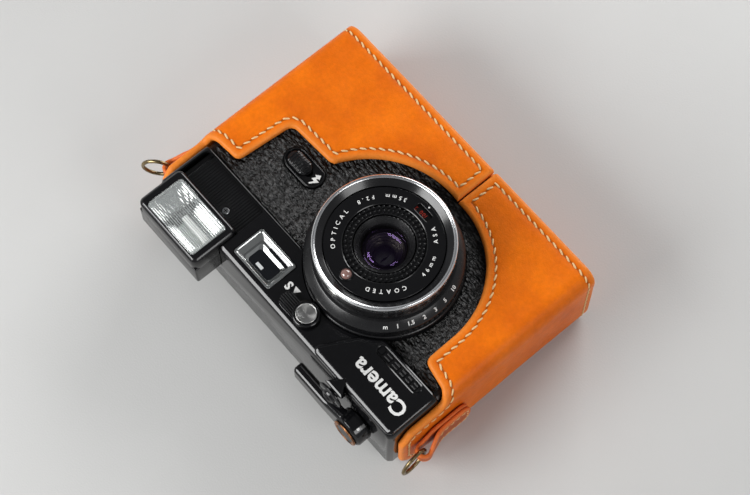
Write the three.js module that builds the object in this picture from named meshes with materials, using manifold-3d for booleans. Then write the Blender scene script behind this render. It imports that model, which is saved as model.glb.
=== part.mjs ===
// Compact 35 mm camera with a pop-up flash, dressed in a leather half case and lying on its back.
// Millimetres. +Z runs along the lens axis, out of the lens. +Y points to the top of the camera.
// +X is to the right of somebody who faces the lens. The origin is on the lens axis, in the plane
// of the case's back face, which is the face that the object rests on.
import * as THREE from 'three';
import { mergeVertices } from 'three/addons/utils/BufferGeometryUtils.js';
import Module from 'manifold-3d';

const wasm = await Module();
wasm.setup();

// ---------------------------------------------------------------- driving dimensions

const GAP = 0.3; // clearance between pieces that touch
const ROUND = 28; // sides of a large round piece
const SMALL = 14; // sides of a small round piece

const LEATHER = 2.8; // thickness of the case leather
const CASE = { left: -52.4, right: 78.6, bottom: -51.4, back: 0, front: 37.2, fold: 6 };
const WALL_TOP = 37; // top of the case's end walls
const BACK_TOP = 20; // top of the case's back panel
const TAB_Z = 17.5; // height of the strap tabs' middle above the rest face
const LOOP_Y = 30.2; // pivot of each strap ring
const STRAP_RING = { radius: 5.3, wire: 0.7 };

const BODY = { left: -49.2, right: 74.8, bottom: -37, back: 3.2, front: 33.1, corner: 3 };
const COVER = { bottom: 18.3, deck: 39.8, front: 35.3, wall: 1.4, edge: 1.4 };
const LINING = { top: BODY.bottom - GAP, thickness: 1.3 };

const LEVER = { x: -34, z: 19.5, hub: 6.4, reach: 28.8 }; // film advance
const BUTTON = { x: -23, z: 29.6, radius: 5.5 }; // shutter release
const TIMER = { x: 2.3, y: 32.9, hub: 4.8 }; // self-timer
const FINDER = { x0: 17.9, x1: 37.4, y0: 23.6, y1: 37.1 };
const SWITCH = { x: 45.5, y: -2.2, length: 17.6, height: 8.8 };
const FLASH = { x0: 41.3, x1: 72.6, bottom: 31.4, top: 50.6, front: 37.3, depth: 8, roofDepth: 18 };
const well = { // room for the flash in the top cover
  x0: FLASH.x0 - GAP,
  x1: FLASH.x1 + GAP,
  back: FLASH.front - FLASH.roofDepth - GAP,
};
const FLASH_WINDOW = { x0: 44.1, x1: 69.5, y0: 33.4, y1: 49.2 };

const CASSETTE = { x: 33.5, z: 18.6, radius: 12.7 };
const TRIPOD = { x: 12.8, z: 17 };
const CELL = { radius: 7.1, length: 50.4 };

// ---------------------------------------------------------------- solids

// A manifold solid from any closed three.js geometry, with its faces pointing out.
function solid(geometry) {
  const bare = geometry.index ? geometry.toNonIndexed() : geometry.clone();
  bare.deleteAttribute('normal');
  bare.deleteAttribute('uv');
  const merged = mergeVertices(bare, 1e-4);
  const point = merged.attributes.position;
  const a = new THREE.Vector3();
  const b = new THREE.Vector3();
  const c = new THREE.Vector3();
  const faces = [];
  let volume = 0;
  for (let i = 0; i < merged.index.count; i += 3) {
    const [p, q, r] = [0, 1, 2].map((corner) => merged.index.getX(i + corner));
    if (p === q || q === r || r === p) continue;
    faces.push([p, q, r]);
    a.fromBufferAttribute(point, p);
    b.fromBufferAttribute(point, q);
    c.fromBufferAttribute(point, r);
    volume += a.dot(b.cross(c));
  }
  const outward = volume > 0 ? faces : faces.map(([p, q, r]) => [p, r, q]);
  return new wasm.Manifold(new wasm.Mesh({
    numProp: 3,
    vertProperties: Float32Array.from(point.array),
    triVerts: Uint32Array.from(outward.flat()),
  }));
}

const cut = (body, ...tools) => tools.reduce((rest, tool) => rest.subtract(tool), body);
const join = (body, ...others) => others.reduce((sum, other) => sum.add(other), body);

function box(x0, x1, y0, y1, z0, z1) {
  const geometry = new THREE.BoxGeometry(x1 - x0, y1 - y0, z1 - z0);
  return solid(geometry.translate((x0 + x1) / 2, (y0 + y1) / 2, (z0 + z1) / 2));
}

// Extrudes a shape from 0 to depth, with an optional bevel that stays inside the outline.
function slab(shape, depth, bevel = 0, curveSegments = 6) {
  const options = { depth: depth - 2 * bevel, bevelEnabled: bevel > 0, curveSegments };
  if (bevel > 0) {
    options.bevelThickness = bevel;
    options.bevelSize = bevel;
    options.bevelOffset = -bevel;
    options.bevelSegments = 2;
  }
  return new THREE.ExtrudeGeometry(shape, options).translate(0, 0, bevel);
}

const AXES = {
  // u, v and the direction of extrusion, as columns of a turned frame
  y: new THREE.Matrix4().makeBasis(
    new THREE.Vector3(1, 0, 0), new THREE.Vector3(0, 0, 1), new THREE.Vector3(0, -1, 0)),
  x: new THREE.Matrix4().makeBasis(
    new THREE.Vector3(0, 1, 0), new THREE.Vector3(0, 0, 1), new THREE.Vector3(1, 0, 0)),
};

// shape in (X, Y), extruded from z0 to z1
const prismZ = (shape, z0, z1, bevel, curves) =>
  solid(slab(shape, z1 - z0, bevel, curves).translate(0, 0, z0));

// shape in (X, Z), extruded from y0 to y1
const prismY = (shape, y0, y1, bevel, curves) =>
  solid(slab(shape, y1 - y0, bevel, curves).applyMatrix4(AXES.y).translate(0, y1, 0));

// shape in (Y, Z), extruded from x0 to x1
const prismX = (shape, x0, x1, bevel, curves) =>
  solid(slab(shape, x1 - x0, bevel, curves).applyMatrix4(AXES.x).translate(x0, 0, 0));

const profilePoints = (profile) => profile.map(([r, h]) => new THREE.Vector2(r, h));

// profile of (radius, height) pairs, turned about a line along Z through (x, y)
function turnZ(profile, x = 0, y = 0, sides = ROUND) {
  const geometry = new THREE.LatheGeometry(profilePoints(profile), sides);
  return solid(geometry.rotateX(Math.PI / 2).translate(x, y, 0));
}

// profile of (radius, height) pairs, turned about a line along Y through (x, z)
function turnY(profile, x, z, sides = SMALL) {
  return solid(new THREE.LatheGeometry(profilePoints(profile), sides).translate(x, 0, z));
}

const rod = (radius, low, high) => [[0, low], [radius, low], [radius, high], [0, high]];
const tube = (inner, outer, low, high) =>
  [[inner, low], [outer, low], [outer, high], [inner, high], [inner, low]];

// ---------------------------------------------------------------- outlines

function polygon(points) {
  return new THREE.Shape(points.map(([x, y]) => new THREE.Vector2(x, y)));
}

// A polygon with each corner rounded by its own radius: points are [x, y, radius].
function roundedPolygon(points) {
  const shape = new THREE.Shape();
  points.forEach(([x, y, radius = 0], i) => {
    const corner = new THREE.Vector2(x, y);
    const before = points[(i + points.length - 1) % points.length];
    const after = points[(i + 1) % points.length];
    const back = new THREE.Vector2(before[0], before[1]).sub(corner).setLength(radius);
    const ahead = new THREE.Vector2(after[0], after[1]).sub(corner).setLength(radius);
    const start = corner.clone().add(back);
    const end = corner.clone().add(ahead);
    if (i === 0) {
      shape.moveTo(start.x, start.y);
    } else {
      shape.lineTo(start.x, start.y);
    }
    if (radius > 0) shape.quadraticCurveTo(x, y, end.x, end.y);
  });
  shape.closePath();
  return shape;
}

const rectangle = (x0, x1, y0, y1, r = 0) =>
  roundedPolygon([[x0, y0, r], [x1, y0, r], [x1, y1, r], [x0, y1, r]]);

function capsule(x, y, length, height) {
  const r = height / 2;
  const half = length / 2 - r;
  const shape = new THREE.Shape();
  shape.moveTo(x - half, y - r);
  shape.lineTo(x + half, y - r);
  shape.absarc(x + half, y, r, -Math.PI / 2, Math.PI / 2, false);
  shape.lineTo(x - half, y + r);
  shape.absarc(x - half, y, r, Math.PI / 2, Math.PI * 1.5, false);
  return shape;
}

// ---------------------------------------------------------------- scene graph

const camera = new THREE.Group();

const FINISH = {
  leather: { color: 0xd9741c, roughness: 0.55, metalness: 0 },
  leatherBoard: { color: 0x9a5a26, roughness: 0.85, metalness: 0 },
  suede: { color: 0x4a3326, roughness: 0.95, metalness: 0 },
  glossBlack: { color: 0x0b0b0c, roughness: 0.18, metalness: 0 },
  satinBlack: { color: 0x151516, roughness: 0.45, metalness: 0 },
  grainedBlack: { color: 0x1a1a1b, roughness: 0.7, metalness: 0 },
  casting: { color: 0x6f7276, roughness: 0.6, metalness: 0.7 },
  chrome: { color: 0xc9cbcd, roughness: 0.2, metalness: 1 },
  steel: { color: 0x9a9c9e, roughness: 0.35, metalness: 1 },
  brass: { color: 0x8c7240, roughness: 0.35, metalness: 1 },
  copper: { color: 0x8f5a34, roughness: 0.4, metalness: 0.9 },
  glass: { color: 0xbfc8d8, roughness: 0.05, metalness: 0 },
  clear: { color: 0xdfe4e6, roughness: 0.1, metalness: 0 },
  board: { color: 0x2e5a34, roughness: 0.6, metalness: 0 },
  cell: { color: 0x2d3a52, roughness: 0.4, metalness: 0.3 },
};

function piece(name, body, finish) {
  const { vertProperties, triVerts } = body.getMesh();
  const geometry = new THREE.BufferGeometry();
  geometry.setAttribute('position', new THREE.BufferAttribute(Float32Array.from(vertProperties), 3));
  geometry.setIndex(new THREE.BufferAttribute(Uint32Array.from(triVerts), 1));
  const mesh = new THREE.Mesh(geometry, new THREE.MeshStandardMaterial(FINISH[finish]));
  mesh.name = name;
  camera.add(mesh);
}

// ---------------------------------------------------------------- leather half case

// The camera's room inside the case, grown by an inset on each side.
const plan = (inset, fold) =>
  rectangle(CASE.left + inset, CASE.right - inset, CASE.back + inset, CASE.front - inset, fold);

// Opening of the case front: two arcs that sweep round the lens, a step below the flash switch
// on the right, and a rise into both end walls.
function frontOpening() {
  const shape = new THREE.Shape();
  shape.moveTo(0, -33.9);
  shape.absarc(4.5, 3.2, 37.4, THREE.MathUtils.degToRad(263.1), THREE.MathUtils.degToRad(338), false);
  shape.quadraticCurveTo(40.6, -9.9, 43, -9.7);
  shape.lineTo(57, -9.1);
  shape.quadraticCurveTo(60, -9, 60.4, -6);
  shape.lineTo(62, 11);
  shape.quadraticCurveTo(62.4, 13.9, 65.4, 14.1);
  shape.lineTo(72, 15);
  shape.quadraticCurveTo(76.5, 16, 77.5, 20);
  shape.lineTo(95, 20);
  shape.lineTo(95, 60);
  shape.lineTo(-70, 60);
  shape.lineTo(-70, 20);
  shape.lineTo(-51.6, 20);
  shape.quadraticCurveTo(-51, 16.2, -47.5, 15.5);
  shape.lineTo(-39.5, 13.7);
  shape.quadraticCurveTo(-36.4, 13, -36.2, 10);
  shape.lineTo(-35.9, 1.5);
  shape.absarc(-1.5, 0.6, 34.4, THREE.MathUtils.degToRad(180), THREE.MathUtils.degToRad(272.5), false);
  return shape;
}

const SEAM = 0.35; // half the width of the open seam below the lens
const shoulder = polygon([
  [WALL_TOP + 1, -1], [29, -1], [WALL_TOP, 9], [WALL_TOP, 25.5],
  [31, CASE.front + 1], [WALL_TOP + 1, CASE.front + 1],
]);
piece('case_wrap', cut(
  prismY(plan(0, CASE.fold), CASE.bottom, WALL_TOP, 0, 5),
  prismY(plan(LEATHER, CASE.fold - LEATHER), CASE.bottom - 1, WALL_TOP + 1, 0, 5),
  prismZ(frontOpening(), 32, CASE.front + 1, 0, 8),
  prismX(shoulder, CASE.left - 1, CASE.right + 1),
  prismZ(rectangle(CASE.left + 7, CASE.right - 7, BACK_TOP, 60, 4), -1, LEATHER + 3, 0, 3),
  box(-SEAM, SEAM, CASE.bottom - 1, 0, CASE.front - LEATHER - 1, CASE.front + 1),
), 'leather');

const baseInset = LEATHER + GAP;
const base = (low, high, bevel) => prismY(plan(baseInset, CASE.fold - LEATHER), low, high, bevel, 4);
const BASE = {
  leatherTop: CASE.bottom + LEATHER,
  blockTop: LINING.top - LINING.thickness - GAP,
  recess: CASE.bottom + 4.2,
};
const atTripod = (profile) => turnY(profile, TRIPOD.x, TRIPOD.z, SMALL);
const screwRecess = atTripod(rod(9, CASE.bottom - 1, BASE.recess));

piece('case_base_leather', cut(base(CASE.bottom, BASE.leatherTop), screwRecess), 'leather');
piece('case_base_block', cut(
  base(BASE.leatherTop + GAP, BASE.blockTop),
  screwRecess,
  atTripod(rod(6.3, CASE.bottom, LINING.top)),
), 'leatherBoard');
piece('case_base_lining', cut(
  base(LINING.top - LINING.thickness, LINING.top),
  atTripod(rod(6.3, CASE.bottom, 0)),
  turnY(rod(9, CASE.bottom, 0), CASSETTE.x, CASSETTE.z),
), 'suede');
piece('case_screw_bush', atTripod(tube(3.6, 6, BASE.recess + GAP, LINING.top)), 'brass');
piece('case_fixing_screw', cut(
  join(
    atTripod(rod(8, CASE.bottom + 0.8, BASE.recess - GAP)),
    atTripod(rod(3.1, BASE.recess - 0.5, BODY.bottom + 4.4)),
  ),
  box(TRIPOD.x - 6, TRIPOD.x + 6, CASE.bottom, CASE.bottom + 2, TRIPOD.z - 0.8, TRIPOD.z + 0.8),
), 'brass');

// Strap tab: a strip folded round the ring, its two layers sewn flat to the end wall.
// side is -1 on the left end and +1 on the right end.
function strapTab(side) {
  const wall = side < 0 ? CASE.left : CASE.right;
  const at = (out) => wall + side * (GAP + out);
  const layer = 1.5;
  const loop = { x: at(3.3), outer: 3.2, hole: 1.7 };
  const flat = solid(slab(
    roundedPolygon([[8, 12, 5], [8, 23, 5], [24, 23, 2.5], [28.5, 20, 0], [28.5, 15, 0], [24, 12, 2.5]]),
    2 * layer).applyMatrix4(AXES.x).translate(Math.min(at(0), at(2 * layer)), 0, 0));
  const eye = turnZ(rod(loop.outer, 15, 20), loop.x, LOOP_Y, SMALL);
  const hole = turnZ(rod(loop.hole, 5, 30), loop.x, LOOP_Y, SMALL);
  return { body: cut(join(flat, eye), hole), pivot: loop.x };
}

// Strap ring: a round wire ring that hangs in the tab's eye, leaning out by an angle.
function strapRing(pivot, side, lean) {
  const geometry = new THREE.TorusGeometry(STRAP_RING.radius, STRAP_RING.wire, 8, 24);
  geometry.rotateY(Math.PI / 2).translate(0, STRAP_RING.radius - 0.3, 0);
  geometry.rotateZ(-side * THREE.MathUtils.degToRad(lean));
  return solid(geometry.translate(pivot, LOOP_Y, TAB_Z));
}

const ends = [{ end: 'left', side: -1, lean: 6 }, { end: 'right', side: 1, lean: 48 }];
for (const { end, side, lean } of ends) {
  const { body, pivot } = strapTab(side);
  piece(`strap_tab_${end}`, body, 'leather');
  piece(`strap_ring_${end}`, strapRing(pivot, side, lean), 'brass');
}

// ---------------------------------------------------------------- camera body

const bodyPlan = (inset, back, front) =>
  rectangle(BODY.left + inset, BODY.right - inset, back, front, BODY.corner - inset);

const SHELL = 0.8; // wall of the moulded front shell
const DOOR = { low: BODY.bottom + 2.4, top: COVER.bottom - GAP, front: 5.8 };

piece('front_shell', cut(
  prismY(bodyPlan(0, DOOR.front - 4, BODY.front), DOOR.low, DOOR.top, 0, 4),
  prismY(bodyPlan(1.2, DOOR.front - 5, BODY.front - SHELL), DOOR.low + 1.2, DOOR.top + 1, 0, 4),
  box(BODY.left - 1, BODY.right + 1, DOOR.low - 1, DOOR.top + 1, 0, DOOR.front + GAP),
  turnZ(rod(18.6, 20, 40)),
  prismZ(capsule(SWITCH.x + 0.2, SWITCH.y, 8.4, 3.2), 30, 40),
  atTripod(rod(5.8, BODY.bottom, -25)),
  turnY(rod(7.4, BODY.bottom, -25), CASSETTE.x, CASSETTE.z),
), 'satinBlack');

piece('front_leatherette', cut(
  prismZ(rectangle(BODY.left + 3, BODY.right - 3, DOOR.low + 0.3, DOOR.top - 0.2, 1),
    BODY.front + GAP, 34, 0, 3),
  turnZ(rod(28.4, 30, 40)),
  prismZ(capsule(SWITCH.x, SWITCH.y, SWITCH.length + 0.8, SWITCH.height + 0.8), 30, 40),
), 'grainedBlack');

piece('bottom_cover', cut(
  prismY(bodyPlan(0, BODY.back, BODY.front), BODY.bottom, DOOR.low - GAP, 0.6, 4),
  atTripod(rod(5.8, BODY.bottom - 1, -25)),
  turnY(rod(7.4, BODY.bottom - 1, -25), CASSETTE.x, CASSETTE.z),
  box(50, 71.2, BODY.bottom - 1, -30, 8, 30),
), 'glossBlack');
piece('battery_door', prismY(
  rectangle(50.3, 70.9, 8.3, 29.7, 1.5), BODY.bottom + 0.2, DOOR.low - GAP), 'satinBlack');
piece('tripod_socket', atTripod(tube(3.45, 5.5, BODY.bottom + 0.2, BODY.bottom + 6)), 'steel');

piece('film_door', cut(
  prismY(bodyPlan(0, BODY.back, BODY.front), DOOR.low, DOOR.top, 0.5, 3),
  box(BODY.left - 1, BODY.right + 1, DOOR.low - 1, DOOR.top + 1, DOOR.front, 40),
), 'satinBlack');
piece('pressure_plate', prismZ(rectangle(-19, 19, -16, 16, 2), DOOR.front + GAP, 7.2, 0, 3), 'steel');

const CHASSIS = { left: -47.6, split: 19.3, right: 47.5, back: 7.5, front: 31.9 };
const CHAMBER = { low: DOOR.low + 3, top: DOOR.top - 1.6 }; // height of both film chambers
const chamberBlock = (x0, x1) => prismY(
  rectangle(x0, x1, CHASSIS.back, CHASSIS.front, 2), CHAMBER.low - 1.4, CHAMBER.top + 1.2, 0, 3);

piece('chassis', cut(
  chamberBlock(CHASSIS.left, CHASSIS.split),
  box(-46.4, -20, CHAMBER.low, CHAMBER.top, 0, 30.4),
  box(-18, 18, -12, 12, 0, 22),
  turnZ(rod(15, 20, 40)),
  turnY(rod(3.3, 0, 30), LEVER.x, LEVER.z),
  atTripod(rod(5.8, BODY.bottom, -30)),
), 'casting');

// Moulded housing for the film cassette, fixed to the right of the casting and open to the back.
piece('cassette_housing', cut(
  chamberBlock(CHASSIS.split + GAP, CHASSIS.right),
  turnY(rod(CASSETTE.radius, CHAMBER.low, CHAMBER.top), CASSETTE.x, CASSETTE.z, 20),
  box(CASSETTE.x - CASSETTE.radius, CASSETTE.x + CASSETTE.radius, CHAMBER.low, CHAMBER.top, 0, CASSETTE.z),
  box(well.x0, CHASSIS.right + 1, 5, DOOR.top + 1, 30.2, 40),
  turnY(rod(2.4, -40, 0), CASSETTE.x, CASSETTE.z),
), 'satinBlack');

const SPOOL = { low: -17.6, top: 14.4, rim: 8.6, core: 7 };
piece('takeup_spool', cut(
  turnY([[0, SPOOL.low], [SPOOL.rim, SPOOL.low], [SPOOL.rim, SPOOL.low + 1], [SPOOL.core, SPOOL.low + 1],
    [SPOOL.core, SPOOL.top - 1], [SPOOL.rim, SPOOL.top - 1], [SPOOL.rim, SPOOL.top], [0, SPOOL.top]],
  LEVER.x, LEVER.z),
  box(LEVER.x - 1, LEVER.x + 1, -12, 10, LEVER.z + 4, LEVER.z + 9),
), 'satinBlack');

// Film sprocket: a shaft with two rings of eight teeth.
function sprocket() {
  const at = { x: -24.8, z: 11 };
  let body = turnY(rod(2.6, SPOOL.low, SPOOL.top), at.x, at.z, 16);
  for (const y of [-14.1, 12.1]) {
    body = join(body, turnY(rod(3.5, y - 1.5, y + 1.5), at.x, at.z, 16));
    for (let tooth = 0; tooth < 4; tooth += 1) {
      const bar = new THREE.BoxGeometry(8.2, 1.2, 1);
      bar.rotateY((tooth * Math.PI) / 4).translate(at.x, y, at.z);
      body = join(body, solid(bar));
    }
  }
  return body;
}
piece('sprocket_shaft', sprocket(), 'satinBlack');

// Rewind crank: a folded crank in the bottom cover, with a forked shaft into the cassette chamber.
const atCassette = (profile) => turnY(profile, CASSETTE.x, CASSETTE.z);
piece('rewind_crank', cut(
  join(
    atCassette(rod(7, BODY.bottom + 0.4, BODY.bottom + 2.2)),
    atCassette(rod(2.1, BODY.bottom + 1, -24)),
    box(CASSETTE.x - 2, CASSETTE.x + 2, -25, -21, CASSETTE.z - 0.6, CASSETTE.z + 0.6),
  ),
  box(CASSETTE.x - 5, CASSETTE.x + 5, BODY.bottom, BODY.bottom + 1, CASSETTE.z + 2, CASSETTE.z + 5),
), 'steel');

// ---------------------------------------------------------------- top cover and its controls

const FOOT = 19.1; // lower edge of the flash's opening in the cover's front
const POINTER = { x: BUTTON.x - 0.8, half: 4.2, top: 43 }; // V-shaped mark below the release
const pointer = (grow, low) => polygon([
  [POINTER.x - POINTER.half - grow, POINTER.top],
  [POINTER.x, low],
  [POINTER.x + POINTER.half + grow, POINTER.top],
]);
const throughDeck = (radius, x, z) => turnY(rod(radius, 30, 50), x, z);

piece('top_cover', cut(
  prismY(bodyPlan(0, BODY.back, COVER.front), COVER.bottom, COVER.deck, COVER.edge, 4),
  prismY(bodyPlan(COVER.wall, BODY.back + COVER.wall, COVER.front - COVER.wall),
    COVER.bottom - 1, COVER.deck - COVER.wall, 0, 4),
  box(BODY.left - 1, BODY.right + 1, COVER.bottom - 2, COVER.bottom, 0, 40),
  turnZ(rod(28.4, 20, 40)),
  prismZ(rectangle(FINDER.x0, FINDER.x1, FINDER.y0, FINDER.y1, 1.2), 30, 40, 0, 3),
  box(21, 35, 25.5, 34.5, 0, 10),
  box(well.x0, well.x1, 30, 60, well.back, 60),
  prismZ(rectangle(well.x0, well.x1, FOOT, 60, 2.6), 30, 60, 0, 3),
  throughDeck(3.4, LEVER.x, LEVER.z),
  throughDeck(2.4, BUTTON.x, BUTTON.z),
  turnZ(rod(1.9, 30, 40), TIMER.x, TIMER.y, SMALL),
  prismZ(pointer(0.4, 36.6), 30.6, 40),
), 'glossBlack');

// Raised front panel at the left, its right edge slanting down towards the lens.
const panelOutline = roundedPolygon([
  [-48.4, COVER.bottom + 0.3, 1], [-18.4, COVER.bottom + 0.3, 0], [-6.8, 39.3, 0], [-48.4, 39.3, 1],
]);
piece('front_panel', cut(
  prismZ(panelOutline, COVER.front + GAP, COVER.front + 1.1, 0.3, 2),
  turnZ(rod(28.4, 20, 40)),
  prismZ(capsule(-32.4, 22.4, 21.6, 4), COVER.front + 0.7, 40),
  prismZ(pointer(0.4, 36.6), 30, 40),
), 'glossBlack');

// Film advance lever: hub, arm and shaft, with a copper-coloured cap.
const leverArm = roundedPolygon([
  [LEVER.x, LEVER.z - 6.2, 0], [LEVER.x + 14, LEVER.z - 6.2, 4], [LEVER.x + LEVER.reach, LEVER.z - 5, 1.5],
  [LEVER.x + LEVER.reach, LEVER.z + 2.4, 1.5], [LEVER.x + 11, LEVER.z + 2.4, 3], [LEVER.x, LEVER.z + 5.5, 0],
]);
piece('advance_lever', join(
  turnY([[0, 40.1], [6, 40.1], [LEVER.hub, 41], [LEVER.hub, 45.6], [5.8, 46.2], [0, 46.2]],
    LEVER.x, LEVER.z, 20),
  prismY(leverArm, 41.8, 46.2, 0.5, 3),
  turnY(rod(3, 18.6, 41), LEVER.x, LEVER.z),
), 'glossBlack');
piece('advance_lever_cap', turnY(
  [[0, 46.7], [4, 46.7], [5.3, 46.5], [5.3, 47.2], [4.2, 47.4], [3.9, 47], [0, 47]],
  LEVER.x, LEVER.z, 20), 'copper');

piece('shutter_collar', cut(
  join(
    turnY(rod(3.4, 40.1, 41.7), BUTTON.x, BUTTON.z),
    prismZ(pointer(0, 37.3), 35.4, 36.9),
    cut(prismZ(pointer(0, 37.3), 31, 35.5), box(-40, 0, 41.7, 50, 30, 36)),
    box(BUTTON.x - 2.2, BUTTON.x + 1.6, 40.1, 41, BUTTON.z, 31.5),
  ),
  turnY(rod(2.4, 30, 50), BUTTON.x, BUTTON.z),
), 'glossBlack');
piece('shutter_button', join(
  turnY([[0, 43.2], [5.1, 43.2], [BUTTON.radius, 43.6], [BUTTON.radius, 44], [4.9, 44.3], [2.9, 44.3],
    [2.6, 45.2], [1.6, 45.6], [0, 45.7]], BUTTON.x, BUTTON.z),
  turnY(rod(2, 35, 44), BUTTON.x, BUTTON.z),
), 'satinBlack');

// Self-timer: a lobed lever on a front pivot, with a dished bright cap.
const lobe = { x: TIMER.x + 7.9, y: TIMER.y + 1.3, radius: 3.4 };
const lobeShape = new THREE.Shape();
lobeShape.absarc(lobe.x, lobe.y, lobe.radius, -Math.PI / 2, Math.PI / 2, false);
lobeShape.lineTo(TIMER.x, TIMER.y + 4.4);
lobeShape.lineTo(TIMER.x, TIMER.y - 2.6);
piece('selftimer_lever', join(
  turnZ([[0, 35.7], [TIMER.hub, 35.7], [TIMER.hub, 37.4], [4.5, 37.8], [4.1, 37.8], [4.1, 37], [0, 37]],
    TIMER.x, TIMER.y, 20),
  prismZ(lobeShape, 35.7, 36.6, 0, 8),
  turnZ(rod(1.5, 32.6, 36), TIMER.x, TIMER.y, 16),
), 'glossBlack');
piece('selftimer_cap', turnZ(
  [[0, 37.3], [3.8, 37.3], [3.8, 38], [3.4, 38.3], [0, 37.7]], TIMER.x, TIMER.y, 20), 'chrome');

// Viewfinder: window, tunnel, objective and eyepiece.
const pane = (inset, z0, z1, bevel = 0) => prismZ(
  rectangle(FINDER.x0 + inset, FINDER.x1 - inset, FINDER.y0 + inset, FINDER.y1 - inset, 1), z0, z1, bevel, 3);
piece('viewfinder_window', pane(0.35, 34.2, 35.7, 0.3), 'clear');
piece('viewfinder_tunnel', cut(pane(0.35, 7.2, 33.6), pane(1.6, 0, 40)), 'satinBlack');
piece('viewfinder_objective', pane(2, 29.4, 31.4, 0.4), 'glass');
piece('viewfinder_eyepiece', prismZ(rectangle(21.3, 34.7, 25.8, 34.2, 1.5), 3.6, 6.4, 0.4, 3), 'glass');

// ---------------------------------------------------------------- pop-up flash

const flashRear = FLASH.front - FLASH.depth;
const roofRear = FLASH.front - FLASH.roofDepth;
const roofSection = roundedPolygon([
  [38.6, roofRear, 0], [FLASH.top, roofRear, 1], [FLASH.top, FLASH.front - 4, 0], [38.6, FLASH.front - 4, 0],
]);
piece('flash_head', cut(
  join(
    prismZ(rectangle(FLASH.x0, FLASH.x1, FLASH.bottom, FLASH.top, 2.4), flashRear, FLASH.front, 0.6, 3),
    prismX(roofSection, FLASH.x0, FLASH.x1, 0.5, 3),
  ),
  prismZ(rectangle(FLASH_WINDOW.x0, FLASH_WINDOW.x1, FLASH_WINDOW.y0, FLASH_WINDOW.y1, 1.2),
    flashRear + 1.2, 60, 0, 3),
), 'satinBlack');

const flashPane = rectangle(
  FLASH_WINDOW.x0 + GAP, FLASH_WINDOW.x1 - GAP, FLASH_WINDOW.y0 + GAP, FLASH_WINDOW.y1 - GAP, 1);
const troughY = (FLASH_WINDOW.y0 + FLASH_WINDOW.y1) / 2;
const trough = new THREE.Shape();
trough.moveTo(FLASH_WINDOW.y0 + 1.2, 40);
trough.lineTo(FLASH_WINDOW.y0 + 1.2, 36);
trough.quadraticCurveTo(FLASH_WINDOW.y0 + 2.6, 32.2, troughY, 32);
trough.quadraticCurveTo(FLASH_WINDOW.y1 - 2.6, 32.2, FLASH_WINDOW.y1 - 1.2, 36);
trough.lineTo(FLASH_WINDOW.y1 - 1.2, 40);
piece('flash_reflector', cut(
  prismZ(flashPane, flashRear + 1.5, 35.9, 0, 3),
  prismX(trough, FLASH_WINDOW.x0 + 1.4, FLASH_WINDOW.x1 - 1.4, 0, 6),
), 'chrome');
piece('flash_tube', prismX(
  capsule(troughY, 34, 2.8, 2.6), FLASH_WINDOW.x0 + 2.4, FLASH_WINDOW.x1 - 2.4, 0, 4), 'glass');
piece('flash_window', prismZ(flashPane, 36.2, 37.5, 0.3, 3), 'clear');
const APRON = { back: 30.6, front: 32, screw: { x: 51.6, y: 28.6 } };
piece('flash_apron', cut(
  prismZ(rectangle(well.x0 + 0.6, well.x1 - 0.6, COVER.bottom - 0.2, FLASH.bottom + 1.6, 1),
    APRON.back, APRON.front, 0, 2),
  box(FLASH.x0 - 1, FLASH.x1 + 1, FLASH.bottom - GAP, 40, flashRear - GAP, 40),
  turnZ(rod(1.6, APRON.front - 1, 40), APRON.screw.x, APRON.screw.y, 16),
), 'satinBlack');
const slot = (halfX, halfY) => box(
  APRON.screw.x - halfX, APRON.screw.x + halfX, APRON.screw.y - halfY, APRON.screw.y + halfY,
  APRON.front - 0.3, APRON.front + 1);
piece('flash_apron_screw', cut(
  turnZ(rod(1.3, APRON.front - 0.7, APRON.front), APRON.screw.x, APRON.screw.y, 16),
  slot(0.7, 0.2),
  slot(0.2, 0.7),
), 'steel');

// ---------------------------------------------------------------- flash switch

piece('flash_switch_bezel', cut(
  prismZ(capsule(SWITCH.x, SWITCH.y, SWITCH.length, SWITCH.height), BODY.front + GAP, 34.4),
  prismZ(capsule(SWITCH.x, SWITCH.y, SWITCH.length - 1.2, SWITCH.height - 1.2), BODY.front + 0.7, 40),
  prismZ(capsule(SWITCH.x + 0.2, SWITCH.y, 8.4, 3.2), 30, 40),
), 'satinBlack');
piece('flash_switch_slider', join(
  prismZ(capsule(SWITCH.x + 2.5, SWITCH.y, 10.8, 6.8), BODY.front + 1, 35.6, 0.5),
  prismZ(capsule(SWITCH.x + 2.8, SWITCH.y, 2.4, 2.2), CHASSIS.front + GAP, 34.5),
), 'satinBlack');

// ---------------------------------------------------------------- lens and shutter

piece('lens_base', turnZ(tube(20, 28, BODY.front + GAP, 36.4)), 'satinBlack');
piece('focus_ring', turnZ([
  [22.6, 36.8], [27.8, 36.8], [27.8, 41.6], [25, 44.5], [22.6, 44.5], [22.6, 36.8],
]), 'satinBlack');
piece('front_barrel', turnZ([
  [18.5, 36.8], [22.2, 36.8], [22.2, 44.9], [24.2, 44.9], [24.2, 51.4],
  [20.7, 51.4], [20.7, 49.6], [18.5, 49.6], [18.5, 36.8],
]), 'satinBlack');
piece('filter_ring', turnZ([
  [21.1, 51.7], [24.5, 51.7], [24.7, 52.2], [24.7, 54.4], [24.2, 54.9],
  [23.8, 54.9], [21.6, 53.5], [21.1, 53.5], [21.1, 51.7],
]), 'chrome');
piece('name_ring', cut(
  turnZ([[14.3, 51.7], [20.7, 51.7], [20.7, 52.6], [20.2, 52.8], [14.3, 52.6], [14.3, 51.7]]),
  turnZ(rod(2.4, 50, 60), 0, 16.9, SMALL),
  prismZ(rectangle(-3.4, 3.4, -18.8, -15.9, 0.8), 50, 60, 0, 2),
), 'glossBlack');
piece('asa_ring', turnZ([
  [10.9, 50], [13.9, 50], [13.9, 50.2], [20.2, 50.2], [20.2, 51.2], [13.9, 51.2],
  [13.9, 52.6], [13.5, 53], [11.4, 53], [10.9, 52.4], [10.9, 50],
]), 'satinBlack');
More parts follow.
